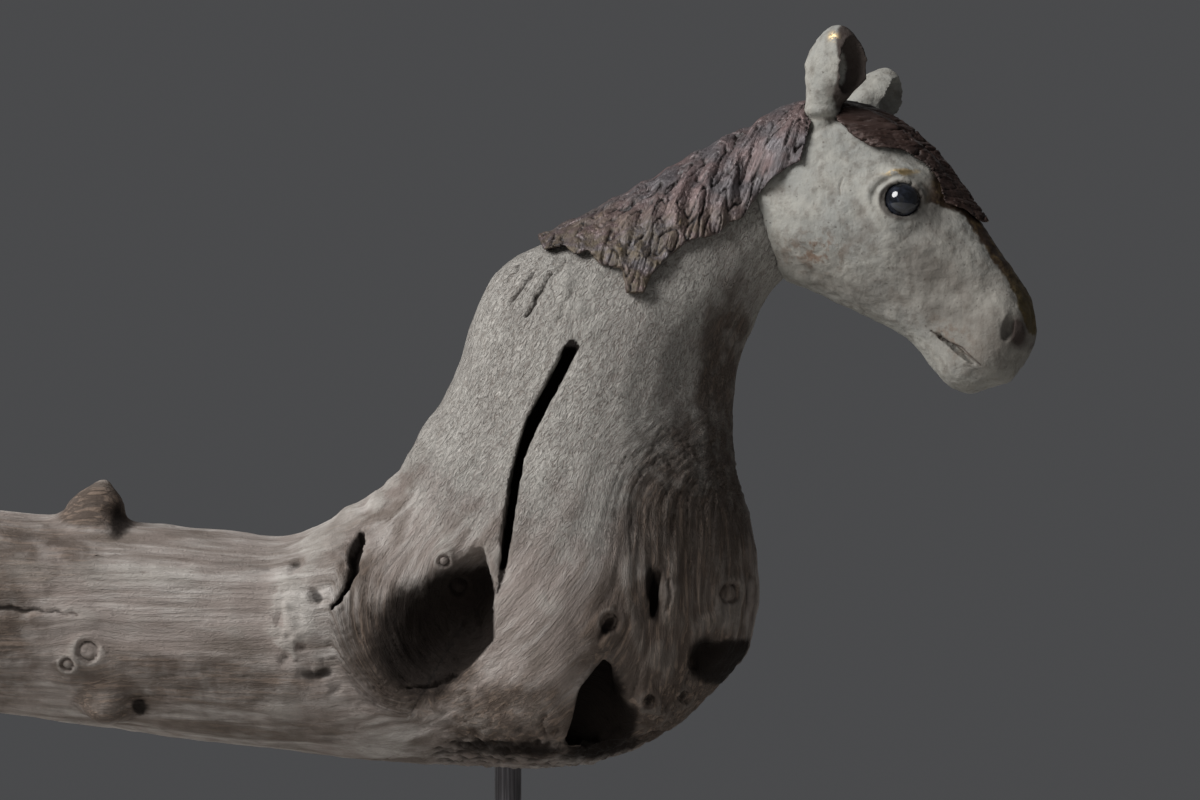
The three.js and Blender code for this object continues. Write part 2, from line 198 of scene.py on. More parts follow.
class Blank:
    """A fine, even mesh of a solid. Its points are in millimetres."""

    def __init__(self, node, voxel):
        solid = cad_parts[node].data
        rough = bpy.data.objects.new("blank", solid.copy())
        bpy.context.scene.collection.objects.link(rough)
        remesh = rough.modifiers.new("Remesh", "REMESH")
        remesh.mode = "VOXEL"
        remesh.voxel_size = voxel
        graph = bpy.context.evaluated_depsgraph_get()
        self.mesh = bpy.data.meshes.new_from_object(rough.evaluated_get(graph))
        bpy.data.objects.remove(rough)
        self.points = read(self.mesh.vertices, "co", 3) / MM
        self.edges = read(self.mesh.edges, "vertices", 2, np.int32)
        self.degree = np.bincount(self.edges.ravel(), minlength=len(self.points))
        self.edge_distance = self.distance_to(crease_points(solid))
        self.low, self.high = (millimetres(corner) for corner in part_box(node))

    def distance_to(self, places):
        if not places:
            return np.full(len(self.points), np.inf)
        tree = kdtree.KDTree(len(places))
        for number, place in enumerate(places):
            tree.insert(place, number)
        tree.balance()
        return np.array([tree.find(point)[2] for point in self.points * MM]) / MM

    def average(self, values):
        """The mean of each point's neighbours, for an array with one row to each point."""
        first, second = self.edges.T
        columns = []
        for column in values.T:
            total = np.bincount(first, column[second], len(values))
            total += np.bincount(second, column[first], len(values))
            columns.append(total / self.degree)
        return np.column_stack(columns)

    def smooth(self, rounds, freedom):
        """Rounds off the facets. A second pass gives back the bulk that the first one takes."""
        kept = self.points.copy()
        share = 0.85 * freedom[:, None]
        for _ in range(rounds):
            self.points += share * (self.average(self.points) - self.points)
        lost = kept - self.points
        for _ in range(rounds):
            lost += share * (self.average(lost) - lost)
        self.points += lost * freedom[:, None]

    def soften(self, rounds, freedom):
        """Melts edges away where there is freedom, without giving any bulk back."""
        share = 0.85 * freedom[:, None]
        for _ in range(rounds):
            self.points += share * (self.average(self.points) - self.points)

    def normals(self):
        self.mesh.vertices.foreach_set("co", (self.points * MM).ravel())
        self.mesh.update()
        return read(self.mesh.vertex_normals, "vector", 3)

    def push(self, heights):
        """Moves each point out along the surface's normal, within the solid's box."""
        self.points += self.normals() * heights[:, None]
        slack = BOX_SLACK * (self.high - self.low)
        self.points = np.clip(self.points, self.low - slack, self.high + slack)

    def note(self, name, values):
        """Keeps a number or a vector with each point, for the materials."""
        kind, field = ("FLOAT", "value") if values.ndim == 1 else ("FLOAT_VECTOR", "vector")
        layer = self.mesh.attributes.new(name, kind, "POINT")
        layer.data.foreach_set(field, np.ascontiguousarray(values, np.float32).ravel())

    def piece(self, name, material, node, slot):
        """The finished piece, thinned to its share of triangles, standing for the node."""
        self.mesh.vertices.foreach_set("co", (self.points * MM).ravel())
        self.mesh.update()
        full = bpy.data.objects.new(name, self.mesh)
        bpy.context.scene.collection.objects.link(full)
        triangles = sum(len(face.vertices) - 2 for face in self.mesh.polygons)
        thin = full.modifiers.new("Thin", "DECIMATE")
        thin.ratio = min(1.0, MOST_TRIANGLES / triangles)
        graph = bpy.context.evaluated_depsgraph_get()
        full.data = bpy.data.meshes.new_from_object(full.evaluated_get(graph))
        full.modifiers.clear()
        bpy.data.meshes.remove(self.mesh)
        full.data.name = name
        return placed(full, material, node)


def placed(piece, material, node):
    """Gives a piece its material, sets it on the sculpture and lets it stand for its solid."""
    piece.data.materials.clear()
    piece.data.materials.append(material)
    piece.data.shade_smooth()
    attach(piece, "root")
    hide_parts(node)
    return piece


# ---- material boards ---------------------------------------------------------------------------


class Board:
    """Places nodes in a tree and links them. A plain number for an input is set on its socket."""

    def __init__(self, tree):
        self.tree = tree

    def place(self, kind, inputs=(), **settings):
        node = self.tree.nodes.new(kind)
        number = len(self.tree.nodes)
        node.location = (number % 9 * 210, -(number // 9) * 320)
        for key, value in settings.items():
            setattr(node, key, value)
        for key, value in dict(inputs).items():
            self.feed(node.inputs[key], value)
        return node

    def feed(self, socket, value):
        if isinstance(value, bpy.types.NodeSocket):
            self.tree.links.new(value, socket)
        else:
            socket.default_value = value

    def number(self, operation, *values, clamp=False):
        inputs = dict(enumerate(values))
        node = self.place("ShaderNodeMath", inputs, operation=operation, use_clamp=clamp)
        return node.outputs[0]

    def vector(self, operation, *values):
        node = self.place("ShaderNodeVectorMath", dict(enumerate(values)), operation=operation)
        return node.outputs[0]

    def mix(self, share, first, second):
        inputs = {0: share, 6: opaque(first), 7: opaque(second)}
        return self.place("ShaderNodeMix", inputs, data_type="RGBA").outputs[2]

    def between(self, value, low, high, start=0.0, end=1.0):
        """Start where the value is at low, end at high, and an even curve between them."""
        inputs = {0: value, 1: low, 2: high, 3: start, 4: end}
        return self.place("ShaderNodeMapRange", inputs, interpolation_type="SMOOTHSTEP").outputs[0]

    def clouds(self, where, size, detail=3.0, roughness=0.5, distortion=0.0):
        inputs = {"Vector": where, "Scale": 1 / size, "Detail": detail}
        inputs |= {"Roughness": roughness, "Distortion": distortion}
        return self.place("ShaderNodeTexNoise", inputs).outputs["Fac"]

    def kept(self, name):
        """The number kept with each point of the mesh under that name."""
        return self.place("ShaderNodeAttribute", attribute_name=name).outputs["Fac"]

    def kept_vector(self, name):
        return self.place("ShaderNodeAttribute", attribute_name=name).outputs["Vector"]

    def here(self):
        return self.place("ShaderNodeTexCoord").outputs["Object"]

    def bump(self, height, distance, strength=1.0, normal=None):
        inputs = {"Height": height, "Distance": distance, "Strength": strength}
        if normal is not None:
            inputs["Normal"] = normal
        return self.place("ShaderNodeBump", inputs).outputs["Normal"]

    def group(self, tree, **inputs):
        node = self.place("ShaderNodeGroup", node_tree=tree)
        for key, value in inputs.items():
            self.feed(node.inputs[key.replace("_", " ").title()], value)
        return node.outputs


def opaque(colour):
    """A colour with its fourth number, or a socket as it is."""
    if isinstance(colour, bpy.types.NodeSocket):
        return colour
    return (*colour, 1.0) if len(colour) == 3 else colour


def new_group(name, inputs, outputs):
    """An empty node group, its board, and its input and output sockets by name."""
    tree = bpy.data.node_groups.new(name, "ShaderNodeTree")
    for label, (kind, default) in inputs.items():
        socket = tree.interface.new_socket(label, in_out="INPUT", socket_type=kind)
        if default is not None:
            socket.default_value = default
    for label in outputs:
        tree.interface.new_socket(label, in_out="OUTPUT", socket_type="NodeSocketFloat")
    board = Board(tree)
    entry = board.place("NodeGroupInput").outputs
    leave = board.place("NodeGroupOutput").inputs
    return tree, board, entry, leave


def once(build):
    """Builds a node group the first time that it is asked for."""
    name = build.__name__.replace("_", " ").capitalize()

    def fetch():
        return bpy.data.node_groups.get(name) or build(name)

    return fetch


@once
def drawn_lines(name):
    """Fine lines along the first axis of the coordinates, such as grain, hair or draw marks."""
    inputs = {
        "Coordinates": ("NodeSocketVector", None),
        "Run": ("NodeSocketFloat", 0.02),
        "Spacing": ("NodeSocketFloat", 0.001),
        "Waver": ("NodeSocketFloat", 0.3),
    }
    tree, board, entry, leave = new_group(name, inputs, ["Lines"])
    run = board.number("DIVIDE", 1.0, entry["Run"])
    spacing = board.number("DIVIDE", 1.0, entry["Spacing"])
    scale = board.place("ShaderNodeCombineXYZ", {0: run, 1: spacing, 2: spacing}).outputs[0]
    where = board.vector("MULTIPLY", entry["Coordinates"], scale)
    inputs = {"Vector": where, "Scale": 1.0, "Detail": 4.0, "Roughness": 0.6}
    lines = board.place("ShaderNodeTexNoise", inputs | {"Distortion": entry["Waver"]}).outputs["Fac"]
    board.feed(leave["Lines"], lines)
    return tree


@once
def speckles(name):
    """Small separate specks, as a mask."""
    inputs = {
        "Coordinates": ("NodeSocketVector", None),
        "Size": ("NodeSocketFloat", 0.002),
        "Share": ("NodeSocketFloat", 0.3),
    }
    tree, board, entry, leave = new_group(name, inputs, ["Mask"])
    scale = board.number("DIVIDE", 1.0, entry["Size"])
    ragged = board.place("ShaderNodeTexNoise", {"Vector": entry["Coordinates"], "Scale": 900.0})
    shift = board.vector("SCALE", ragged.outputs["Color"])
    shift.node.inputs["Scale"].default_value = 0.0006
    where = board.vector("ADD", entry["Coordinates"], shift)
    cells = board.place("ShaderNodeTexVoronoi", {"Vector": where, "Scale": scale})
    chosen = board.place("ShaderNodeSeparateColor", {0: cells.outputs["Color"]}).outputs[0]
    present = board.number("LESS_THAN", chosen, entry["Share"])
    size = board.number("MULTIPLY", board.number("DIVIDE", chosen, entry["Share"]), 0.3)
    dot = board.between(board.number("SUBTRACT", cells.outputs["Distance"], size), 0.0, 0.1, 1.0, 0.0)
    board.feed(leave["Mask"], board.number("MULTIPLY", dot, present))
    return tree


def new_material(name, **constants):
    """A material's board and its Principled BSDF. The constants are set on the shader itself."""
    material = bpy.data.materials.new(name)
    material.use_nodes = True
    board = Board(material.node_tree)
    shader = material.node_tree.nodes["Principled BSDF"]
    for key, value in constants.items():
        shader.inputs[key.replace("_", " ")].default_value = value
    return material, board, shader.inputs


# ---- driftwood ---------------------------------------------------------------------------------

# Places on the wood are (x, z) in millimetres from where the rod enters it.
BEND_CENTRE = (-62.0, 112.0)  # the grain runs round this point on its way from log to neck
BEND_RADIUS = 100.0
NECK_SLOPE = radians(60)
UPRIGHT_GRAIN = (16.2, 158.6)  # joins the upright grain of the chest's front to the rest

# The drying crack behind the shoulder, as (x, z, half width).
CRACK = [
    (19.4, 124.4, 2.3),
    (15.6, 116.5, 2.0),
    (8.1, 102.7, 2.1),
    (5.0, 95.0, 1.6),
    (1.0, 74.0, 1.5),
    (-0.4, 61.8, 1.1),
    (-2.2, 53.0, 0.4),
]

# The shoulder's edge over the hollow, which stays crisp, as (x, z, half width).
SHOULDER_EDGE = [
    (-6.0, 64.0, 1.0),
    (-3.3, 53.0, 1.0),
    (-3.2, 39.5, 1.0),
    (-7.7, 34.0, 1.0),
    (-14.0, 27.5, 1.0),
    (-21.0, 22.0, 1.0),
]

# How far forward the painted shade in the hollow reaches, as (z, x).
HOLLOW_SHADE_EDGE = [(20, -21), (27.5, -14), (34, -7.7), (39.5, -3.2), (53, -3.3), (64, -6)]

# Where the cut edges of the solid are melted away: place, radii, tilt.
MELTED = [
    ((-28.0, 46.0), (19.0, 24.0), -35),
    ((-12.0, 68.0), (10.0, 6.0), 0),
    ((36.5, 19.0), (5.0, 10.0), 10),
    ((58.0, 25.0), (9.0, 5.0), 30),
    ((-117.5, 19.0), (10.0, 9.0), 0),
    ((-127.0, 73.0), (17.0, 5.0), -5),
]

# The grain sweeps round the hollow in U shapes that open up the neck.
SWEEP_CENTRE = (-10.0, 48.0)
SWEEP_REACH = 42.0
SWEEP_START = (75.0, 75.3)  # along and across the grain at the centre
SWEEP_BEND = 30.0  # how far the grain runs for each radian that it turns under the hollow

# How far forward the swept grain reaches, as (z, x).
SWEEP_EDGE = [
    (22, -21), (27.5, -14), (34, -7.7), (39.5, -3.2), (53, -3),
    (61.8, -0.4), (74, 1), (95, 5), (124, 19),
]

# Knots on the right flank: place, radius, height of the plug, and how far the grain is pushed out.
KNOTS = [
    ((30.6, 44.3), 2.3, -1.3, 0.75),
    ((65.8, 52.0), 2.5, 0.1, 0.6),
    ((42.3, 20.8), 1.7, -1.5, 0.6),
    ((52.5, 21.3), 1.6, -1.4, 0.6),
    ((-13.7, 54.3), 2.2, 0.9, 0.5),
    ((-18.0, 61.9), 1.5, 0.4, 0.5),
    ((-122.4, 35.4), 2.6, -0.2, 0.6),
    ((-128.5, 31.5), 1.6, 0.2, 0.4),
]

# Open grooves on the right flank: how deep they are, and their course as (x, z, half width).
GROOVES = [
    (4.2, [(-43, 69.5, 1.7), (-45, 63.1, 2.3), (-44.5, 59.3, 1.6), (-47, 53, 0.9), (-50.5, 48, 0.5)]),
    (1.1, [(-152, 48.5, 1.3), (-138, 47.4, 1.1), (-125, 46.2, 0.4)]),
    (1.1, [(10.4, 150.6, 0.5), (6.5, 145.4, 1.0), (2.8, 140.4, 0.8), (0.5, 137.0, 0.3)]),
    (1.2, [(13.1, 146.8, 0.5), (9.5, 140, 1.1), (5.7, 133.1, 0.4)]),
    (0.9, [(5.5, 152.0, 0.5), (1.5, 146.6, 0.8), (-1.5, 141.4, 0.4)]),
    (0.8, [(17.2, 150, 0.5), (14.0, 145.2, 0.9), (11.6, 141.2, 0.4)]),
    (0.7, [(20.5, 142, 0.4), (17.0, 136.0, 0.8), (15.0, 131.2, 0.4)]),
    (0.6, [(-1.0, 150.0, 0.4), (-4.5, 144.6, 0.7), (-7.0, 139.4, 0.4)]),
    (1.3, [(-14.5, 28.3, 0.9), (-22, 25, 0.8), (-30, 24.5, 0.3)]),
    (0.8, [(12.5, 20.0, 0.3), (10.5, 15.5, 0.6), (12.0, 11.0, 0.9)]),
    (0.9, [(47.5, 57.0, 0.6), (47.8, 52.0, 0.9), (47.0, 47.5, 0.5)]),
    (0.6, [(-33, 97, 0.3), (-29.5, 103, 0.8), (-27, 108, 0.3)]),
]

# Ragged pits on the right flank: place, radii, tilt, depth.
PITS = [
    ((-61.8, 59.9), (2.6, 1.6), 40, 1.3),
    ((-55.5, 51.7), (1.9, 2.6), 20, 1.5),
    ((-53.8, 28.7), (3.4, 1.6), 15, 1.3),
    ((-64.3, 32.5), (2.6, 1.5), -30, 1.2),
    ((-66.0, 44.0), (1.5, 2.6), 10, 0.9),
    ((-59.5, 36.5), (2.4, 1.3), -20, 0.9),
    ((-49.5, 24.0), (2.4, 1.2), 25, 0.9),
    ((-46.5, 79.0), (3.2, 1.6), 35, 1.2),
    ((-27.8, 95.0), (1.2, 2.2), -25, 1.0),
    ((-139.0, 21.0), (1.8, 1.0), 0, 0.6),
    ((-95.0, 60.5), (2.2, 1.2), 10, 0.4),
    ((-150.0, 58.0), (2.4, 1.4), 20, 0.5),
    ((-72.0, 20.0), (3.0, 1.2), 5, 0.5),
    ((29.0, 41.5), (1.4, 2.4), -35, 1.3),
    ((32.6, 47.5), (1.2, 1.8), 20, 0.7),
    ((46.6, 60.0), (1.2, 1.6), 20, 0.8),
    ((49.5, 56.0), (1.0, 1.8), 0, 0.6),
    ((0.5, 20.0), (0.8, 0.7), 0, 0.5),
    ((12.6, 51.5), (0.7, 1.2), 0, 0.4),
    ((4.0, 12.5), (1.6, 1.2), 30, 0.9),
    ((-8.5, 11.5), (2.2, 1.2), -20, 0.9),
    ((14.5, 12.5), (1.8, 1.2), 40, 1.0),
]

# Lumps of clay on the withers, and swellings of the root: place, radii, tilt, height.
LUMPS = [
    ((18.9, 144.8), (4.2, 3.0), 30, 1.3),
    ((20.5, 136.0), (3.6, 2.8), -20, 1.2),
    ((11.5, 150.5), (4.0, 2.2), 35, 0.8),
    ((26.5, 144.0), (2.8, 3.4), 0, 0.8),
    ((24.0, 130.0), (4.0, 4.0), 10, 0.5),
    ((-46.8, 75.0), (4.0, 3.0), 20, 1.6),
    ((-38.5, 79.0), (3.5, 2.6), 30, 1.4),
    ((-55.0, 68.0), (7.0, 5.0), 20, 1.2),
    ((-33.7, 83.8), (3.0, 2.2), 40, 1.2),
    ((-26.5, 92.5), (2.2, 3.0), -25, 0.9),
    ((48.5, 54.0), (2.4, 9.0), -4, 1.4),
    ((-62.0, 45.0), (6.0, 14.0), 0, 1.2),
    ((38.0, 45.0), (2.0, 9.0), 8, 0.7),
    ((35.5, 58.0), (2.2, 9.0), 4, 0.6),
    ((61.0, 44.0), (7.0, 3.0), 15, 1.0),
    ((46.0, 32.0), (5.0, 5.0), 0, 0.9),
    ((13.0, 50.0), (6.0, 9.0), 0, 0.5),
    ((-5.0, 14.5), (9.0, 3.5), 10, 0.6),
]

# Rubble on the foot, and clay combed with a fine tool: place, radii, tilt, amount.
RUBBLE = [((30, 10), (9, 5), 0, 1.0), ((48, 18), (10, 7), 30, 0.7)]
COMBED = [((31, 142.5), (5, 5.5), 0, 1.0), ((22.5, 128), (5, 4), 0, 1.0), ((4, 143), (8, 7), 30, 0.7)]

# The scarred band where roots broke off: place, radii, tilt.
SCARS = [((-63, 44), (6, 17), 0), ((-56, 30), (11, 6), -10)]

# The recess and the front notch, painted black inside as shade: place, radii, tilt.
RECESS = ((27, 19), (12, 18), 0)
NOTCH = ((66, 31), (12, 7.5), 5)
DARK_GROOVE = 1.25  # grooves deeper than this get painted shade

# Hollows, holes and the foot's underside, painted dark as shade: place, radii, tilt, how dark.
DARK_PLACES = [
    ((-7.0, 46.0), (10.0, 17.0), 4, 1.0),
    ((-15.0, 44.0), (15.0, 20.0), -25, 1.0),
    ((-24.0, 38.0), (19.0, 19.0), -35, 0.85),
    ((43.0, 52.5), (1.9, 9.5), 8, 1.0),
    ((28.5, 21.0), (7.0, 12.5), -8, 0.97),
    ((64.0, 31.5), (10.0, 5.5), -5, 0.98),
    ((58.0, 34.0), (5.0, 6.0), -5, 0.9),
    ((30.0, 6.0), (16.0, 4.0), 8, 0.7),
    ((2.0, 6.5), (20.0, 3.0), 0, 0.72),
    ((-108.0, 18.5), (2.2, 2.6), 0, 0.95),
    ((-113.5, 74.5), (4.5, 8.0), -25, 0.85),
    ((30.0, 43.0), (1.6, 3.4), -35, 0.75),
]

# Bare wood that is browner than the rest, and painted shade on the chest's right side, which is turned
# from the light: place, radii, tilt, how brown.
BROWN_PLACES = [
    ((-28.0, 34.0), (22.0, 18.0), -30, 1.0),
    ((-40.0, 52.0), (6.0, 16.0), 10, 0.5),
    ((46.0, 30.0), (26.0, 34.0), 10, 1.0),
    ((62.0, 60.0), (16.0, 40.0), 0, 0.7),
    ((66.0, 108.0), (12.0, 40.0), 0, 1.0),
    ((6.0, 14.0), (27.0, 14.0), 0, 0.85),
    ((54.0, 74.0), (22.0, 38.0), 0, 0.9),
    ((-166.0, 40.0), (34.0, 30.0), 0, 0.75),
    ((-95.0, 27.0), (50.0, 8.0), -5, 0.7),
    ((-144.0, 64.0), (28.0, 11.0), -3, 0.7),
    ((-116.0, 21.0), (13.0, 9.0), 0, 0.9),
    ((-123.0, 78.0), (16.0, 8.0), 0, 1.0),
    ((-46.0, 66.0), (8.0, 12.0), 10, 0.5),
    ((-95.0, 14.0), (60.0, 8.0), -5, 0.35),
    ((-95.0, 72.0), (22.0, 6.0), 0, 0.3),
]


def flank(y):
    """1 on the right flank, 0 on the left one."""
    return ease(y, 3.0, -6.0)


def melting(points):
    """How freely the solid's cut edges melt away at each point."""
    x, z = points[:, 0], points[:, 2]
    total = np.zeros(len(x))
    for place, radii, tilt in MELTED:
        total = np.maximum(total, ease(spot(x, z, place, radii, tilt, 2), 0.15, 0.6))
    crisp = ease(beside(x, z, SHOULDER_EDGE)[0], 6.0, 1.5)
    return total * (1 - crisp)


def grain_course(x, z):
    """How far along and across the grain each point of the wood lies."""
    dx, dz = x - BEND_CENTRE[0], z - BEND_CENTRE[1]
    turn = np.clip(np.arctan2(dx, -dz), 0, NECK_SLOPE)
    turn = np.where((dx < 0) & (dz > 0), 0, turn)
    along = BEND_RADIUS * turn + dx * np.cos(turn) + dz * np.sin(turn)
    across = dx * np.sin(turn) - dz * np.cos(turn)
    upright = ease(x, 18, 42) * ease(z, 108, 74)
    along += upright * (dz + UPRIGHT_GRAIN[1] - along)
    across += upright * (dx + UPRIGHT_GRAIN[0] - across)
    return along, across


def swept_round_hollow(x, y, z, along, across):
    """Turns the grain behind the shoulder's edge into U shapes round the hollow."""
    dx, dz = x - SWEEP_CENTRE[0], z - SWEEP_CENTRE[1]
    up = dx * cos(NECK_SLOPE) + dz * sin(NECK_SLOPE)
    aside = dz * cos(NECK_SLOPE) - dx * sin(NECK_SLOPE)
    below = np.minimum(up, 0)
    away = np.hypot(aside, below)
    share = ease(x - follow(z, SWEEP_EDGE), 0.8, -0.8) * ease(away, SWEEP_REACH, SWEEP_REACH - 9)
    share *= flank(y) * ease(z, 14, 24)
    run = SWEEP_START[0] + np.maximum(up, 0)
    run -= SWEEP_BEND * np.arctan2(-below, np.abs(aside) + 1e-6)
    course = SWEEP_START[1] - np.copysign(away, aside)
    return along + share * (run - along), across + share * (course - across)


def parted_by_knots(x, y, z, along, across):
    """Spreads the grain round each knot."""
    for place, radius, _, push in KNOTS:
        centre = grain_course(np.array([place[0]]), np.array([place[1]]))[1]
        near = spot(x, z, place, (3.2 * radius, 3.2 * radius)) * flank(y)
        across = across - (across - centre) * push * near
    return along, across


def knot_relief(x, z):
    """Each knot as a plug in a ring-shaped groove, with its own rings."""
    total = np.zeros(len(x))
    for number, (place, radius, height, _) in enumerate(KNOTS):
        ragged = noise(np.column_stack([x / 2.1, z / 2.1, x * 0 + 9.0 * number]), 12)
        away = np.hypot(x - place[0], z - place[1]) / radius + 0.16 * ragged
        plug = height * (1 - ease(away, 0.45, 0.95))
        ring = -1.1 * np.exp(-(((away - 1.02) / 0.17) ** 2))
        collar = 0.5 * np.exp(-(((away - 1.6) / 0.45) ** 2))
        total += plug + ring + collar + 0.1 * ragged * (away < 0.9)
    return total


def wood_relief(points, along, across):
    """The height of the wood's own surface over its smooth form, in millimetres."""
    x, y, z = points.T
    near = flank(y)
    log = 1 - ease(x, -66, -36)
    neck = ease(z, 78, 112)
    root = (1 - log) * (1 - neck)
    right = ease(x, 24, 40) * ease(z, 118, 78)
    behind = root * ease(x, 2, -6) * near
    # broad unevenness, then swells, checks and fine ridges along the grain
    height = 0.45 * noise(points / 15, 1) + 0.22 * noise(points / 6, 2)
    swells = stretched(along, across, y, 60, 8.0, 3)
    height += swells * (0.6 * log + 0.3 * root + 0.14 * neck)
    checks = valleys(stretched(along, across, y, 42, 4.2, 4), 0.10)
    checks *= ease(noise(points / 19, 5), -0.25, 0.25)
    height -= checks * (0.4 * log + 0.5 * behind + 0.8 * right)
    ridges = stretched(along, across, y, 18, 2.1, 6)
    height += ridges * (0.16 * log + 0.08 * root + 0.42 * right + 0.22 * behind + 0.06 * neck)
    ripples = stretched(along, across, y, 8, 1.25, 7)
    height += ripples * (0.07 * log + 0.06 * root + 0.2 * right + 0.08 * behind + 0.07 * neck)
    # the stippled skin of the neck and shoulder
    height += 0.1 * stretched(along, across, y, 3.2, 1.5, 13) * (1 - log) * (1 - right)
    # the scarred band where roots broke off, and the crumbling foot
    high_scar, low_scar = (ease(spot(x, z, *scar), 0.25, 0.8) * near for scar in SCARS)
    scars = np.maximum(high_scar, 0.9 * low_scar)
    crumbs = noise(points / 2.9, 8) + 0.6 * noise(points / 1.5, 9)
    height += scars * (0.6 * crumbs - 0.25)
    ledge = 9.4 + 1.9 * noise(np.column_stack([x / 5.5, y / 9, z * 0]), 10)
    foot = ease(z, ledge + 2.2, ledge - 1.0) * ease(x, -26, -16) * ease(x, 62, 48) * near
    height += foot * (1.0 * crumbs - 0.7)
    height += near * scattered(x, z, RUBBLE, 2) * (0.8 * crumbs + 0.1)
    # the crack's broken lips
    away, width = beside(x, z, CRACK)
    height += near * 0.35 * crumbs * np.exp(-(((away - width - 0.4) / 0.8) ** 2))
    # the left flank has more open checks in place of hollows
    far = 1 - near
    height -= far * 0.6 * valleys(stretched(along, across, y, 34, 6.0, 11), 0.07)
    # what is listed for the right flank, its edges broken a little
    bent = np.column_stack([x / 3.1, z / 3.1, y / 3.1])
    fx, fz = x + 0.7 * noise(bent, 14), z + 0.7 * noise(bent, 15)
    placed_by_hand = knot_relief(x, z)
    for depth, course in GROOVES:
        placed_by_hand -= depth * groove(fx, fz, course)
    placed_by_hand += scattered(fx, fz, LUMPS, 1.3) - scattered(fx, fz, PITS, 1.6)
    # comb marks in the clay of the withers
    teeth = np.sin((fx * 0.83 - fz * 0.55) * tau / 1.5)
    placed_by_hand += 0.16 * scattered(x, z, COMBED, 2) * teeth
    return height + near * placed_by_hand


def wood_tones(points):
    """Masks for the wood's paint: limewash, painted shade in hollows, cracks and recesses, and brown bare
    wood that is partly painted shade on the chest's right side.
    """
    x, y, z = points.T
    near = flank(y)
    lime = ease(z + 0.25 * x, 46, 104) * ease(x, -52, -14)
    lime *= 1 - 0.6 * ease(x, 26, 52) * ease(z, 90, 50)
    dirt = np.zeros(len(x))
    for place, radii, tilt, amount in DARK_PLACES:
        dirt = np.maximum(dirt, amount * ease(spot(x, z, place, radii, tilt, 1.2), 0.1, 0.8))
    inside = ease(follow(z, HOLLOW_SHADE_EDGE) - x, -1.2, 0.4)
    dirt = np.where((x < 8) & (z > 20), dirt * inside, dirt)
    # painted shade inside the crack, the deep grooves, the recess and the notch
    away, width = beside(x, z, CRACK)
    dirt = np.maximum(dirt * ease(y, 0.0, -10.0), near * ease(away, width + 0.15, width - 0.35))
    for depth, course in GROOVES:
        if depth > DARK_GROOVE:
            dirt = np.maximum(dirt, near * 0.85 * ease(groove(x, z, course), 0.35, 0.9))
    recess = spot(x, z, *RECESS, 6) * ease(y, -31.5, -29.0)
    notch = spot(x, z, *NOTCH, 6) * ease(y + 0.9 * (x - 52), -27.0, -23.0)
    dirt = np.maximum(dirt, near * np.maximum(recess, 0.9 * notch))
    brown = np.zeros(len(x))
    for place, radii, tilt, amount in BROWN_PLACES:
        brown = np.maximum(brown, amount * ease(spot(x, z, place, radii, tilt, 1.2), 0.1, 0.75))
    return lime, dirt, brown * (0.35 + 0.65 * near)


def driftwood_material(settings):
    material, board, shader = new_material("driftwood", Specular_IOR_Level=0.2)
    here, grain = board.here(), board.kept_vector("grain")
    lime, dirt, brown = (board.kept(name) for name in ("lime", "dirt", "brown"))
    relief = board.kept("relief")
    wide = board.group(drawn_lines(), coordinates=grain, run=0.07, spacing=0.0065, waver=0.5)
    fine = board.group(drawn_lines(), coordinates=grain, run=0.016, spacing=0.0011, waver=0.5)
    fibre = board.group(drawn_lines(), coordinates=grain, run=0.0026, spacing=0.0010, waver=1.6)
    patches = board.clouds(here, 0.024, 4.0, 0.6)
    blotches = board.clouds(here, 0.007, 3.0, 0.6)
    # bare, weathered wood in soft streaks
    streak = board.between(wide["Lines"], 0.36, 0.66)
    bare = board.mix(streak, settings.bare_dark, settings.bare_pale)
    bare = board.mix(board.between(patches, 0.4, 0.65, 0.0, 0.75), bare, settings.bare_pink)
    bare = board.mix(board.between(fine["Lines"], 0.4, 0.6, 0.3, 0.0), bare, settings.bare_dark)
    # browner bare wood, and painted shade on the chest's right side
    brown_and_shade = board.number("ADD", brown, board.between(blotches, 0.3, 0.7, -0.2, 0.2))
    bare = board.mix(board.between(brown_and_shade, 0.1, 1.0, 0.0, 0.9), bare, settings.brown_wood)
    tan = board.number("MULTIPLY", board.between(fine["Lines"], 0.5, 0.64), brown)
    bare = board.mix(board.number("MULTIPLY", tan, 0.6), bare, settings.warm_wood)
    # limewash, rubbed through in places
    rubbed = board.number("SUBTRACT", lime, board.number("MULTIPLY", brown, 0.7))
    broken = board.number("ADD", board.between(blotches, 0.3, 0.75, -0.25, 0.25), rubbed)
    wash = board.mix(board.between(patches, 0.35, 0.65), settings.limewash, settings.limewash_grey)
    cover = board.between(broken, 0.1, 0.9, 0.0, 0.95)
    colour = board.mix(cover, bare, wash)
    stipple = board.between(fibre["Lines"], 0.36, 0.54, 0.62, 0.0)
    colour = board.mix(board.number("MULTIPLY", stipple, lime), colour, settings.bare_dark)
    # painted shade in the furrows, paler on the ridges
    colour = board.mix(board.between(relief, -0.3, -1.3, 0.0, 0.8), colour, settings.dirt)
    pale_share = board.between(brown, 0.0, 1.0, 0.35, 0.1)
    pale_ridges = board.number("MULTIPLY", board.between(relief, 0.15, 0.7), pale_share)
    colour = board.mix(pale_ridges, colour, settings.limewash)
    # painted shade in the hollows, cracks, deep grooves and recesses, a little mottled
    mottled = board.number("ADD", dirt, board.between(blotches, 0.3, 0.7, -0.1, 0.1))
    colour = board.mix(board.between(mottled, 0.1, 0.85), colour, settings.dirt)
    board.feed(shader["Base Color"], colour)
    board.feed(shader["Roughness"], board.between(patches, 0.3, 0.7, 0.78, 0.95))
    # relief too fine for the mesh
    lines = board.bump(fine["Lines"], 0.0009, 0.8)
    stippled = board.bump(fibre["Lines"], 0.0019, board.between(lime, 0.0, 0.6, 0.4, 1.0), lines)
    board.feed(shader["Normal"], stippled)
    return material


# ---- head --------------------------------------------------------------------------------------

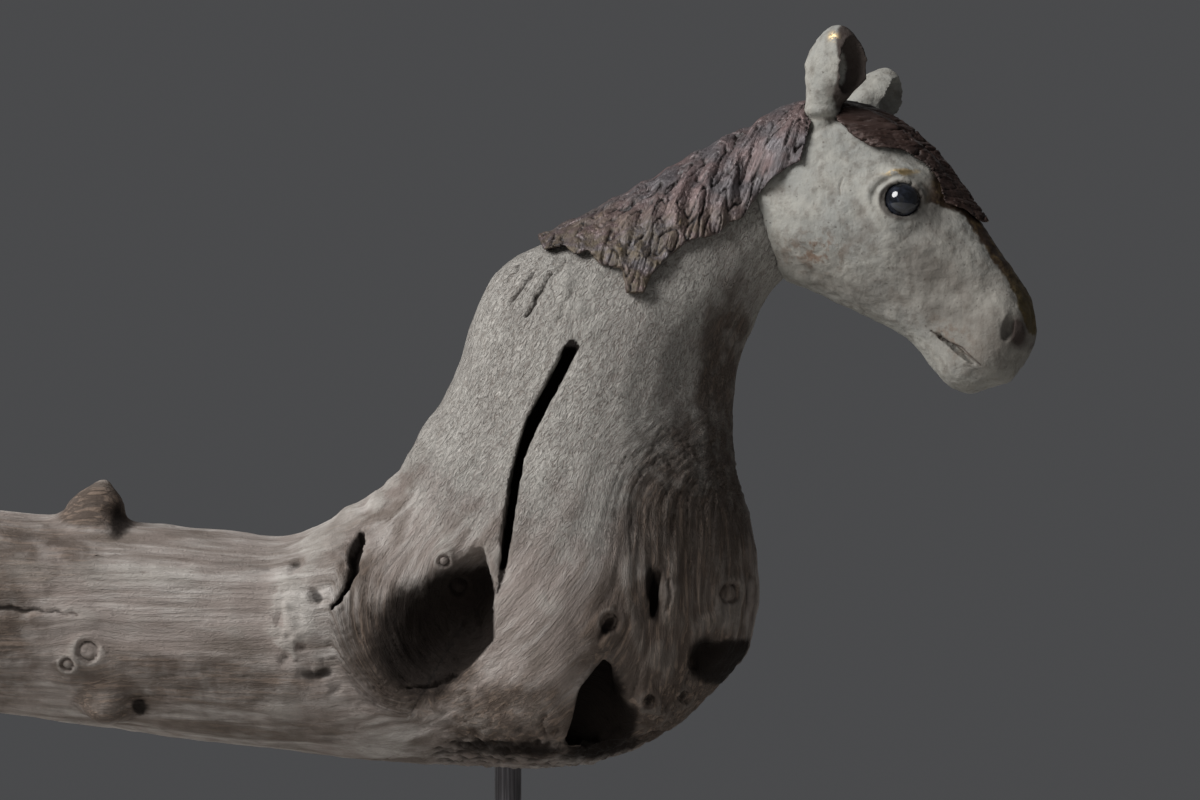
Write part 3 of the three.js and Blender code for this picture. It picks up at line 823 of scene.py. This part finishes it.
# Places on the head are (x, z) in its own frame, with the origin at the pivot.
EYE = (41.0, -4.6)


def in_head_frame(points):
    away = points - HEAD_PIVOT
    x = away[:, 0] * cos(HEAD_TURN) - away[:, 1] * sin(HEAD_TURN)
    y = away[:, 0] * sin(HEAD_TURN) + away[:, 1] * cos(HEAD_TURN)
    return np.column_stack([x, y, away[:, 2]])


# The near edge of the stripe down the nose, as (x, z).
NOSE_STRIPE = [
    (50.0, -4.0), (56.6, -7.3), (61.0, -13.5), (65.9, -20.9),
    (69.5, -25.3), (73.0, -31.5), (74.8, -37.0), (77.0, -46.0),
]

# The front edge of the near ear's pale back, as (z, x).
EAR_EDGE = [(21.3, 18.5), (27.4, 19.5), (31.2, 21.4), (36.8, 22.1), (41.4, 20.8)]

# The mouth and a small crack behind the eye, as (x, z, half width), and how deep they are.
MOUTH = [
    (48.0, -42.8, 0.3),
    (52.1, -45.4, 0.5),
    (58.1, -47.8, 0.5),
    (61.6, -50.8, 0.45),
    (64.1, -53.1, 0.3),
]
TEMPLE_CRACK = [(23.9, 2.4, 0.3), (23.0, -0.5, 0.4), (23.6, -3.5, 0.2)]
HEAD_GROOVES = [(0.5, MOUTH), (0.35, TEMPLE_CRACK)]

# Paint on the head, and painted shade: place, radii, tilt, amount.
RUST_PLACES = [((17, -19), (6.5, 5.5), 0, 1.0), ((8, -20), (7, 5), 0, 0.5), ((55, -45), (8, 5), -35, 0.5)]
GILT_PLACES = [((40.5, 3.4), (4.0, 0.8), 4, 1.0), ((19.8, 44.0), (1.8, 1.4), -40, 1.0)]
# Painted shade over the muzzle and the middle of the face, on the side turned from the light.
FACE_SHADE_PLACES = [
    ((66, -42), (18, 17), 0, 1.0),
    ((48, -24), (14, 13), -30, 0.8),
    ((16, -26), (24, 7), -25, 0.8),
    ((48, -4), (5, 9), 30, 0.6),
]


def head_relief(points, normals):
    """The height of the modelled clay over the head's smooth form."""
    x, y, z = points.T
    outward = np.clip(np.abs(normals[:, 1]) * 1.6, 0, 1) * ease(normals[:, 1] * np.sign(y), 0, 0.3)
    height = 0.42 * noise(points / 8, 21) + 0.24 * noise(points / 3.6, 22)
    height += 0.12 * noise(points / 1.7, 23) + 0.05 * noise(points / 0.9, 24)
    height -= 0.22 * valleys(noise(points / 6, 25), 0.03) * ease(noise(points / 11, 26), 0.0, 0.3)
    # the lids: a full upper one, a thinner lower one, and the fold above
    away = np.hypot(x - EYE[0], (z - EYE[1]) * 1.06)
    above = ease(z - EYE[1], -2.5, 3.0)
    lid = np.exp(-(((away - 5.7) / 0.7) ** 2)) * (0.4 + 0.5 * above)
    fold = -0.45 * np.exp(-(((away - 7.7) / 0.6) ** 2)) * above
    brow = 0.5 * np.exp(-(((away - 9.4) / 1.3) ** 2)) * above
    bag = 0.25 * np.exp(-(((away - 8.6) / 1.3) ** 2)) * (1 - above)
    height += outward * (lid + fold + brow + bag)
    # the wing of the nostril, and the mouth
    height += 0.6 * outward * spot(x, z, (76.0, -44.5), (1.5, 4.5), 8, 1.5)
    for depth, course in HEAD_GROOVES:
        height -= outward * depth * groove(x, z, course)
    # the collar of clay that holds each ear
    height += 0.6 * spot(x, z, (14.5, 22.5), (6.0, 1.4), 0, 1.5)
    height -= 0.4 * spot(x, z, (14.5, 20.3), (6.0, 0.9), 0, 1.5)
    return height


def head_tones(points):
    """Masks for the head's paint: the nose stripe, rust and gilding, and painted shade on the face."""
    x, y, z = points.T
    ragged = 1.1 * noise(points / 2.4, 31) + 0.5 * noise(points / 1.0, 32)
    stripe = ease(z - follow(x, NOSE_STRIPE) + 1.8 + ragged, -0.4, 0.5) * ease(x, 46, 49)
    rust = scattered(x, z, RUST_PLACES)
    gilt = scattered(x, z, GILT_PLACES) * (y < 0)
    face_shade = np.minimum(scattered(x, z, FACE_SHADE_PLACES, 1.2), 1)
    return {"stripe": stripe, "rust": rust, "gilt": gilt, "face_shade": face_shade}


def dark_shade(points):
    """1 on the dark front of the near ear; painted shade in the nostrils and in the mouth, less round the
    eyes.
    """
    x, y, z = points.T
    edge = follow(z, EAR_EDGE) + 0.5 * noise(points / 2, 33)
    ear = ease(x - edge, -0.3, 0.6) * ease(z, 20, 24) * ease(y, -1.0, -3.0)
    nostril = 1.6 * spot(x, z, (73.8, -43.3), (1.7, 4.4), 0, 1.5)
    rim = 0.75 * ease(np.hypot(x - EYE[0], z - EYE[1]), 6.2, 5.2)
    mouth = 0.7 * groove(x, z, MOUTH)
    return np.minimum(ear + nostril + rim + mouth, 1)


def clay_material(settings):
    material, board, shader = new_material("pale_clay", Specular_IOR_Level=0.35)
    here = board.here()
    stripe, rust, gilt = (board.kept(name) for name in ("stripe", "rust", "gilt"))
    shade, face_shade, relief = (board.kept(name) for name in ("shade", "face_shade", "relief"))
    patches = board.clouds(here, 0.012, 4.0, 0.6)
    mottle = board.clouds(here, 0.0035, 4.0, 0.65)
    grit = board.clouds(here, 0.0007, 3.0, 0.7)
    colour = board.mix(board.between(patches, 0.35, 0.65), settings.clay, settings.clay_cool)
    colour = board.mix(board.between(mottle, 0.45, 0.7, 0.0, 0.5), colour, settings.grime)
    # painted shade over the muzzle and face, mottled
    face_shaded = board.number("MULTIPLY", face_shade, board.between(patches, 0.3, 0.65, 0.45, 0.85))
    colour = board.mix(face_shaded, colour, settings.grime)
    # painted shade in the low places of the modelled clay
    colour = board.mix(board.between(relief, -0.1, -0.7, 0.0, 0.75), colour, settings.grime)
    rusty = board.number("MULTIPLY", rust, board.between(mottle, 0.47, 0.62))
    colour = board.mix(board.number("MULTIPLY", rusty, 0.75), colour, settings.rust)
    specks = board.group(speckles(), coordinates=here, size=0.0011, share=0.12)["Mask"]
    colour = board.mix(board.number("MULTIPLY", specks, 0.55), colour, settings.speck)
    # the stripe down the nose, greener and more golden towards the muzzle
    low = board.place("ShaderNodeSeparateXYZ", {0: here}).outputs[2]
    nose = board.between(low, settings.nose_height + 0.016, settings.nose_height)
    bronze = board.mix(nose, settings.stripe, settings.stripe_olive)
    bronze = board.mix(board.between(mottle, 0.45, 0.7, 0.0, 0.5), bronze, settings.stripe_gold)
    colour = board.mix(stripe, colour, bronze)
    # the dark front of the near ear, and painted shade in the nostrils, the mouth and round the eyes
    colour = board.mix(board.number("MULTIPLY", shade, 0.93), colour, settings.ear_inside)
    gold = board.number("MULTIPLY", gilt, board.between(mottle, 0.4, 0.5), clamp=True)
    colour = board.mix(gold, colour, settings.gilding)
    board.feed(shader["Base Color"], colour)
    metal = board.number("MAXIMUM", gold, board.number("MULTIPLY", stripe, 0.35))
    board.feed(shader["Metallic"], metal)
    board.feed(shader["Roughness"], board.number("SUBTRACT", 0.82, board.number("MULTIPLY", metal, 0.4)))
    grainy = board.bump(grit, 0.0004, 0.5)
    board.feed(shader["Normal"], board.bump(mottle, 0.0007, 0.6, grainy))
    return material


# ---- mane --------------------------------------------------------------------------------------

CREST_START = (9.0, 159.0)  # the crest's line over the withers, and how steeply it climbs
CREST_SLOPE = 0.545
FOREHEAD_TOP = (2.0, 34.0)
FOREHEAD_SLOPE = radians(-38)


def swing(depth):
    """How far a lock has swung back towards the withers at a depth below the crest."""
    return 9 * (1 - np.exp(-depth / 8)) + 0.28 * depth


def lock_course(points):
    """Across and along the locks, with the forelock's locks running down the forehead."""
    x, _, z = (points - WOOD_FOOT).T
    below = np.maximum(CREST_START[1] + CREST_SLOPE * (x - CREST_START[0]) - z, 0)
    neck_across = x + swing(below)
    neck_along = below * 1.25
    hx, hy, hz = in_head_frame(points).T
    dx, dz = hx - FOREHEAD_TOP[0], hz - FOREHEAD_TOP[1]
    forward = dx * cos(FOREHEAD_SLOPE) + dz * sin(FOREHEAD_SLOPE)
    under = dx * sin(FOREHEAD_SLOPE) - dz * cos(FOREHEAD_SLOPE)
    fore_across = forward - 0.8 * np.abs(under) + 0.35 * np.abs(hy)
    fore_along = forward + under
    fore = ease(hx - 0.6 * hz, -5.5, -3.0) * ease(x, 88, 92)
    across = neck_across + fore * (fore_across - neck_across)
    along = neck_along + fore * (fore_along - neck_along)
    return along, across, fore


def mane_relief(points, along, across, fore):
    """Locks, strands and incised hairs over the mane's smooth form, in millimetres."""
    y = points[:, 1]
    grooves = valleys(stretched(along, across, y, 30, 3.8, 41), 0.16)
    strands = valleys(stretched(along, across, y, 15, 1.8, 43), 0.15)
    hairs = stretched(along, across, y, 8, 0.9, 45)
    body = stretched(along, across, y, 26, 4.5, 44)
    strength = 0.8 + 0.5 * noise(points / 9, 46)
    height = strength * (0.45 * body - 1.15 * grooves - 0.5 * strands + 0.14 * hairs)
    return height * (1 + 0.25 * fore) + 0.3 * noise(points / 7, 47)


def mane_material(settings):
    material, board, shader = new_material("mane_clay", Specular_IOR_Level=0.5)
    here, hair = board.here(), board.kept_vector("hair")
    relief, fore = board.kept("relief"), board.kept("fore")
    patches = board.clouds(here, 0.014, 3.0, 0.6)
    mottle = board.clouds(here, 0.004, 4.0, 0.65)
    fine = board.group(drawn_lines(), coordinates=hair, run=0.009, spacing=0.0006, waver=0.4)
    colour = board.mix(board.between(patches, 0.38, 0.62), settings.mane_pink, settings.mane_grey)
    height = board.place("ShaderNodeSeparateXYZ", {0: here}).outputs[2]
    low = board.between(height, settings.olive_height + 0.022, settings.olive_height)
    olive = board.number("MULTIPLY", low, board.between(mottle, 0.35, 0.6))
    colour = board.mix(olive, colour, settings.mane_olive)
    colour = board.mix(board.between(fine["Lines"], 0.4, 0.6, 0.4, 0.0), colour, settings.mane_dark)
    # painted shade in the grooves between the locks
    colour = board.mix(board.between(relief, -0.1, -0.75), colour, settings.mane_dark)
    colour = board.mix(board.number("MULTIPLY", fore, 0.85), colour, settings.forelock)
    ridge = board.between(relief, 0.2, 0.5)
    gilded = board.between(mottle, 0.52, 0.62)
    gold = board.number("MULTIPLY", ridge, board.number("MULTIPLY", gilded, low), clamp=True)
    colour = board.mix(board.number("MULTIPLY", gold, 0.7), colour, settings.gilding)
    board.feed(shader["Base Color"], colour)
    board.feed(shader["Metallic"], board.between(relief, -0.4, 0.4, 0.1, 0.55))
    board.feed(shader["Roughness"], board.between(mottle, 0.3, 0.7, 0.38, 0.6))
    board.feed(shader["Normal"], board.bump(fine["Lines"], 0.0005, 0.7))
    return material


# ---- turned pieces: the beads, the rod and the plate ---------------------------------------------

BEAD_BORE = 0.12  # as a share of the bead's radius
BEAD_STEPS = 40
ROD_BORE = 0.2 * MM
ROD_EDGE = 0.5 * MM
ROD_STEPS = 40


def turned(name, profile, around, axis=Matrix.Identity(4)):
    """A piece turned on its Z axis from a closed profile of (radius, height)."""
    work = bmesh.new()
    rings = []
    for step in range(around):
        bearing = tau * step / around
        places = [Vector((r * cos(bearing), r * sin(bearing), h)) for r, h in profile]
        rings.append([work.verts.new(axis @ place) for place in places])
    for step in range(around):
        here, following = rings[step], rings[(step + 1) % around]
        for low in range(len(profile)):
            high = (low + 1) % len(profile)
            work.faces.new((here[low], following[low], following[high], here[high]))
    bmesh.ops.remove_doubles(work, verts=work.verts, dist=0.001 * MM)
    bmesh.ops.recalc_face_normals(work, faces=work.faces)
    mesh = bpy.data.meshes.new(name)
    work.to_mesh(mesh)
    work.free()
    piece = bpy.data.objects.new(name, mesh)
    bpy.context.scene.collection.objects.link(piece)
    return piece


def bead_material(settings):
    material, board, shader = new_material(
        "glass_bead", Roughness=0.12, Coat_Weight=0.6, Coat_Roughness=0.04
    )
    here = board.here()
    swirl = board.clouds(here, 0.004, 4.0, 0.6, 1.5)
    colour = board.mix(board.between(swirl, 0.4, 0.62), settings.bead, settings.bead_blue)
    board.feed(shader["Base Color"], colour)
    board.feed(shader["Normal"], board.bump(board.clouds(here, 0.002, 2.0), 0.0001, 0.3))
    return material


def rod_material(settings):
    material, board, shader = new_material("drawn_steel", Metallic=1.0)
    here = board.here()
    height = board.place("ShaderNodeSeparateXYZ", {0: here}).outputs
    lengthwise = board.place("ShaderNodeCombineXYZ", {0: height[2], 1: height[0], 2: height[1]}).outputs[0]
    drawn = board.group(drawn_lines(), coordinates=lengthwise, run=0.03, spacing=0.0006, waver=0.2)
    patches = board.clouds(here, 0.012, 4.0, 0.6)
    colour = board.mix(board.between(drawn["Lines"], 0.35, 0.65), settings.rod_dark, settings.rod_pale)
    colour = board.mix(board.between(patches, 0.55, 0.75, 0.0, 0.6), colour, settings.rod_dark)
    board.feed(shader["Base Color"], colour)
    board.feed(shader["Roughness"], board.between(patches, 0.3, 0.7, 0.28, 0.5))
    board.feed(shader["Normal"], board.bump(drawn["Lines"], 0.0002, 0.5))
    return material


def plate_material(settings):
    material, board, shader = new_material("patinated_steel", Metallic=0.85)
    here = board.here()
    patches = board.clouds(here, 0.03, 5.0, 0.6, 0.6)
    mottle = board.clouds(here, 0.004, 4.0, 0.65)
    ridges = board.between(board.place("ShaderNodeNewGeometry").outputs["Pointiness"], 0.51, 0.58)
    colour = board.mix(board.between(patches, 0.35, 0.65), settings.plate_dark, settings.plate_brown)
    colour = board.mix(board.between(mottle, 0.55, 0.75, 0.0, 0.5), colour, settings.plate_dark)
    colour = board.mix(board.number("MULTIPLY", ridges, 0.7), colour, settings.plate_edge)
    board.feed(shader["Base Color"], colour)
    board.feed(shader["Roughness"], board.between(mottle, 0.3, 0.7, 0.42, 0.68))
    board.feed(shader["Normal"], board.bump(mottle, 0.0003, 0.5))
    return material


# ---- settings ----------------------------------------------------------------------------------


def colour(name, description, default):
    return FloatVectorProperty(
        name=name,
        description=description,
        default=default,
        subtype="COLOR",
        size=3,
        min=0,
        max=1,
    )


def length(name, description, default):
    return FloatProperty(
        name=name,
        description=description,
        default=default,
        subtype="DISTANCE",
        unit="LENGTH",
        precision=5,
        min=0,
    )


class DriftwoodSettings(bpy.types.PropertyGroup):
    voxel: length("Mesh Step", "How fine the wood's blank is", 0.00068)
    bare_pale: colour("Bare Pale", "Sun-bleached streaks of bare wood", (0.50, 0.46, 0.43))
    bare_dark: colour("Bare Dark", "Darker streaks of bare wood", (0.17, 0.14, 0.12))
    bare_pink: colour("Bare Pink", "Pinkish patches of bare wood", (0.31, 0.26, 0.235))
    # brown wood round the hollows, and painted shade on the chest's right side
    brown_wood: colour("Brown Wood", "Brown wood round the hollows", (0.085, 0.063, 0.05))
    warm_wood: colour("Warm Wood", "Tan streaks in the brown wood", (0.27, 0.20, 0.155))
    limewash: colour("Limewash", "Pale wash on the neck and chest", (0.52, 0.495, 0.455))
    limewash_grey: colour("Grey Limewash", "Thinner wash", (0.41, 0.385, 0.355))
    # painted shade for the hollows, cracks and furrows of the wood
    dirt: colour("Dirt", "Old dirt in hollows and cracks", (0.012, 0.008, 0.006))


class ClaySettings(bpy.types.PropertyGroup):
    voxel: length("Mesh Step", "How fine the head's blank is", 0.00040)
    nose_height: length("Nose Height", "Where the nose stripe is greenest", 0.245)
    clay: colour("Clay", "Off-white paint", (0.36, 0.348, 0.312))
    clay_cool: colour("Cool Clay", "Thinner, cooler paint", (0.3, 0.298, 0.276))
    # random grime, and painted shade on the face and in the low places
    grime: colour("Grime", "Grey-brown in the low places", (0.14, 0.12, 0.1))
    rust: colour("Rust", "Brown rubbed spots", (0.17, 0.11, 0.075))
    speck: colour("Speck", "Fine dark specks", (0.09, 0.075, 0.065))
    stripe: colour("Nose Stripe", "Dark bronze down the nose", (0.045, 0.028, 0.018))
    stripe_olive: colour("Olive Stripe", "The stripe at the muzzle", (0.1, 0.075, 0.035))
    stripe_gold: colour("Golden Stripe", "Rubbed gold in the stripe", (0.22, 0.155, 0.07))
    # dark front of the near ear, and painted shade in the nostrils, the mouth and round the eyes
    ear_inside: colour("Ear Inside", "Dark inside of the ears", (0.035, 0.022, 0.018))
    gilding: colour("Gilding", "Touches of gold", (0.62, 0.46, 0.24))


class ManeSettings(bpy.types.PropertyGroup):
    voxel: length("Mesh Step", "How fine the mane's blank is", 0.00040)
    olive_height: length("Olive Height", "Below this the locks turn olive and gold", 0.262)
    mane_pink: colour("Pink Bronze", "Pinkish violet bronze", (0.175, 0.122, 0.118))
    mane_grey: colour("Grey Bronze", "Grey violet bronze", (0.125, 0.112, 0.118))
    mane_olive: colour("Olive Bronze", "Olive bronze on the low locks", (0.135, 0.105, 0.072))
    # dark fine hair lines, and painted shade in the grooves between the locks
    mane_dark: colour("Groove", "Dark between the locks", (0.016, 0.01, 0.009))
    forelock: colour("Forelock", "Dark brown forelock", (0.036, 0.017, 0.011))
    gilding: colour("Gilding", "Gold on the ridges", (0.62, 0.46, 0.24))


class StandSettings(bpy.types.PropertyGroup):
    bead: colour("Bead", "Blue-black glass", (0.006, 0.007, 0.010))
    bead_blue: colour("Bead Swirl", "Bluer glass", (0.02, 0.024, 0.036))
    rod_pale: colour("Rod Pale", "Bright draw marks", (0.20, 0.19, 0.20))
    rod_dark: colour("Rod Dark", "Dark steel", (0.08, 0.075, 0.08))
    plate_dark: colour("Plate Dark", "Dark patina", (0.030, 0.027, 0.026))
    plate_brown: colour("Plate Brown", "Brown patina", (0.058, 0.046, 0.040))
    plate_edge: colour("Plate Edge", "Rubbed edges", (0.20, 0.18, 0.165))


class StudioSettings(bpy.types.PropertyGroup):
    distance: length("Camera Distance", "From the lens to the rod", 1.2)
    view_width: length("View Width", "Width of the view at the rod", 0.36)
    nose_margin: length("Nose Margin", "From the muzzle to the view's edge", 0.0517)
    ear_margin: length("Ear Margin", "From the ear's tip to the view's top", 0.00904)
    background: colour("Background", "Dark grey behind the sculpture", (0.068, 0.069, 0.072))
    floor: colour("Floor", "Pale floor", (0.55, 0.54, 0.52))


# ---- operators ---------------------------------------------------------------------------------

VIEW_SHAPE = 2 / 3  # the view's height as a share of its width
SENSOR_WIDTH = 36
FLOOR_RADIUS = 0.9
FLOOR_DEPTH = 0.01


class SCULPTURE_OT_driftwood(bpy.types.Operator):
    """Carve the log, chest and neck"""

    bl_idname = "sculpture.driftwood"
    bl_label = "Carve the Driftwood"

    def execute(self, context):
        settings = context.scene.sculpture_driftwood
        blank = Blank("driftwood", settings.voxel)
        freedom = 0.06 + 0.94 * ease(blank.edge_distance, 0.8, 3.2)
        blank.smooth(34, freedom)
        blank.soften(80, melting(blank.points - WOOD_FOOT))
        local = blank.points - WOOD_FOOT
        x, y, z = local.T
        along, across = swept_round_hollow(x, y, z, *grain_course(x, z))
        along, across = parted_by_knots(x, y, z, along, across)
        relief = wood_relief(local, along, across)
        blank.push(relief)
        lime, dirt, brown = wood_tones(local)
        blank.note("grain", np.column_stack([along, across, y]) * MM)
        for name, values in (("relief", relief), ("lime", lime), ("dirt", dirt), ("brown", brown)):
            blank.note(name, values)
        blank.piece("driftwood_body", driftwood_material(settings), "driftwood", "driftwood")
        return {"FINISHED"}


class SCULPTURE_OT_head(bpy.types.Operator):
    """Model the clay head and ears"""

    bl_idname = "sculpture.head"
    bl_label = "Model the Head"

    def execute(self, context):
        settings = context.scene.sculpture_clay
        blank = Blank("clay_head", settings.voxel)
        blank.smooth(40, 0.05 + 0.95 * ease(blank.edge_distance, 0.5, 2.2))
        normals = blank.normals()
        local = in_head_frame(blank.points)
        relief = head_relief(local, in_head_frame(normals + HEAD_PIVOT))
        blank.push(relief)
        notes = head_tones(local) | {"relief": relief, "shade": dark_shade(local)}
        for name, values in notes.items():
            blank.note(name, values)
        blank.piece("horse_head", clay_material(settings), "clay_head", "pale_clay")
        return {"FINISHED"}


class SCULPTURE_OT_mane(bpy.types.Operator):
    """Model the mane and forelock"""

    bl_idname = "sculpture.mane"
    bl_label = "Model the Mane"

    def execute(self, context):
        settings = context.scene.sculpture_mane
        blank = Blank("clay_mane", settings.voxel)
        blank.smooth(26, 0.1 + 0.9 * ease(blank.edge_distance, 0.4, 1.8))
        along, across, fore = lock_course(blank.points)
        relief = mane_relief(blank.points, along, across, fore)
        blank.push(relief)
        blank.note("hair", np.column_stack([along, across, blank.points[:, 1]]) * MM)
        blank.note("relief", relief)
        blank.note("fore", fore)
        blank.piece("mane", mane_material(settings), "clay_mane", "mane_clay")
        return {"FINISHED"}


class SCULPTURE_OT_eyes(bpy.types.Operator):
    """Set the two glass beads in their sockets"""

    bl_idname = "sculpture.eyes"
    bl_label = "Set the Eyes"

    def execute(self, context):
        material = bead_material(context.scene.sculpture_stand)
        for node in ("right_eye", "left_eye"):
            low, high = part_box(node)
            radius = (high.z - low.z) / 2
            bore = BEAD_BORE * radius
            edge = atan2(bore, radius)
            bearings = np.linspace(edge - pi / 2, pi / 2 - edge, BEAD_STEPS + 1)
            profile = [(radius * cos(b), radius * sin(b)) for b in bearings]
            profile += [(bore, 0.9 * radius), (bore, -0.9 * radius)]
            place = Matrix.Translation((low + high) / 2)
            bead = turned(node.replace("eye", "bead_eye"), profile, 72, place)
            placed(bead, material, node)
        return {"FINISHED"}


class SCULPTURE_OT_rod(bpy.types.Operator):
    """Make the steel rod"""

    bl_idname = "sculpture.rod"
    bl_label = "Make the Rod"

    def execute(self, context):
        settings = context.scene.sculpture_stand
        low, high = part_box("steel_rod")
        radius = (high.x - low.x) / 2
        profile = [(ROD_BORE, low.z), (radius - ROD_EDGE, low.z)]
        heights = np.linspace(low.z + ROD_EDGE, high.z - ROD_EDGE, ROD_STEPS + 1)
        profile += [(radius, height) for height in heights]
        profile += [(radius - ROD_EDGE, high.z), (ROD_BORE, high.z)]
        rod = turned("support_rod", profile, 64)
        placed(rod, rod_material(settings), "steel_rod")
        return {"FINISHED"}


class SCULPTURE_OT_plate(bpy.types.Operator):
    """Make the base plate"""

    bl_idname = "sculpture.plate"
    bl_label = "Make the Base Plate"

    def execute(self, context):
        settings = context.scene.sculpture_stand
        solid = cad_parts["base_plate"]
        plate = bpy.data.objects.new("foot_plate", solid.data.copy())
        context.scene.collection.objects.link(plate)
        work = bmesh.new()
        work.from_mesh(plate.data)
        bmesh.ops.remove_doubles(work, verts=work.verts, dist=0.01 * MM)
        bmesh.ops.dissolve_limit(work, angle_limit=radians(1), verts=work.verts, edges=work.edges)
        sharp = [edge for edge in work.edges if edge.is_manifold and edge.calc_face_angle() > radians(30)]
        bmesh.ops.bevel(work, geom=sharp, offset=0.35 * MM, segments=2, affect="EDGES", profile=0.5)
        work.to_mesh(plate.data)
        work.free()
        placed(plate, plate_material(settings), "base_plate")
        return {"FINISHED"}


class SCULPTURE_OT_studio(bpy.types.Operator):
    """Set up the camera, the soft lights and the pale floor"""

    bl_idname = "sculpture.studio"
    bl_label = "Set up the Studio"

    def execute(self, context):
        settings = context.scene.sculpture_studio
        scene = context.scene
        scene.view_settings.view_transform = "Standard"
        right, top = SOLID_BOX[1][0], SOLID_BOX[1][2]
        view_height = settings.view_width * VIEW_SHAPE
        centre_x = right + settings.nose_margin - settings.view_width / 2
        centre_z = top + settings.ear_margin - view_height / 2
        camera = bpy.data.objects.new("camera", bpy.data.cameras.new("camera"))
        camera.data.sensor_width = SENSOR_WIDTH
        camera.data.lens = SENSOR_WIDTH * settings.distance / settings.view_width
        camera.location = (centre_x, -settings.distance, centre_z)
        camera.rotation_euler = (radians(90), 0, 0)
        scene.collection.objects.link(camera)
        scene.camera = camera
        middle = Vector((centre_x, 0, centre_z))
        soft_light("window", middle, (-0.76, -0.42, 0.64), 1.5, 1.0, 30)
        soft_light("bounce", middle, (-0.2, -1.0, 0.1), 1.9, 1.6, 0.8)
        soft_light("behind", middle, (0.5, 1.0, 0.7), 1.9, 1.4, 1.2)
        world = bpy.data.worlds.new("studio")
        world.use_nodes = True
        world.node_tree.nodes["Background"].inputs[0].default_value = (*settings.background, 1)
        scene.world = world
        rim = [(FLOOR_RADIUS, 0.0), (FLOOR_RADIUS, -FLOOR_DEPTH)]
        floor = turned("floor", [(0.0, 0.0), *rim, (0.0, -FLOOR_DEPTH)], 96)
        floor.data.materials.append(floor_material(settings))
        return {"FINISHED"}


def soft_light(name, middle, direction, distance, size, power):
    light = bpy.data.objects.new(name, bpy.data.lights.new(name, "AREA"))
    light.data.shape = "DISK"
    light.data.size = size
    light.data.energy = power
    light.location = middle + Vector(direction).normalized() * distance
    light.rotation_euler = (middle - light.location).to_track_quat("-Z", "Y").to_euler()
    bpy.context.scene.collection.objects.link(light)


def floor_material(settings):
    material, board, shader = new_material("pale_floor", Roughness=0.9)
    tone = board.clouds(board.here(), 0.25, 3.0, 0.5)
    darker = [0.94 * part for part in settings.floor]
    board.feed(shader["Base Color"], board.mix(tone, settings.floor, darker))
    return material


class SCULPTURE_PT_sculpture(bpy.types.Panel):
    """Lists the sculpture's pieces and their settings"""

    bl_idname = "SCULPTURE_PT_sculpture"
    bl_label = "Driftwood Horse"
    bl_space_type = "VIEW_3D"
    bl_region_type = "UI"
    bl_category = "Sculpture"

    def draw(self, context):
        for _, settings in SETTINGS:
            box = self.layout.box()
            group = getattr(context.scene, settings)
            for name in group.__annotations__:
                box.prop(group, name)
        for operator in OPERATORS:
            self.layout.operator(operator.bl_idname)


SETTINGS = (
    (DriftwoodSettings, "sculpture_driftwood"),
    (ClaySettings, "sculpture_clay"),
    (ManeSettings, "sculpture_mane"),
    (StandSettings, "sculpture_stand"),
    (StudioSettings, "sculpture_studio"),
)
OPERATORS = (
    SCULPTURE_OT_driftwood,
    SCULPTURE_OT_head,
    SCULPTURE_OT_mane,
    SCULPTURE_OT_eyes,
    SCULPTURE_OT_rod,
    SCULPTURE_OT_plate,
    SCULPTURE_OT_studio,
)


def register():
    for settings, place in SETTINGS:
        bpy.utils.register_class(settings)
        setattr(bpy.types.Scene, place, PointerProperty(type=settings))
    for operator in OPERATORS:
        bpy.utils.register_class(operator)
    bpy.utils.register_class(SCULPTURE_PT_sculpture)


def unregister():
    bpy.utils.unregister_class(SCULPTURE_PT_sculpture)
    for operator in reversed(OPERATORS):
        bpy.utils.unregister_class(operator)
    for settings, place in reversed(SETTINGS):
        delattr(bpy.types.Scene, place)
        bpy.utils.unregister_class(settings)


def main():
    register()
    bpy.ops.sculpture.driftwood()
    bpy.ops.sculpture.head()
    bpy.ops.sculpture.mane()
    bpy.ops.sculpture.eyes()
    bpy.ops.sculpture.rod()
    bpy.ops.sculpture.plate()
    bpy.ops.sculpture.studio()


if __name__ == "__main__":
    main()
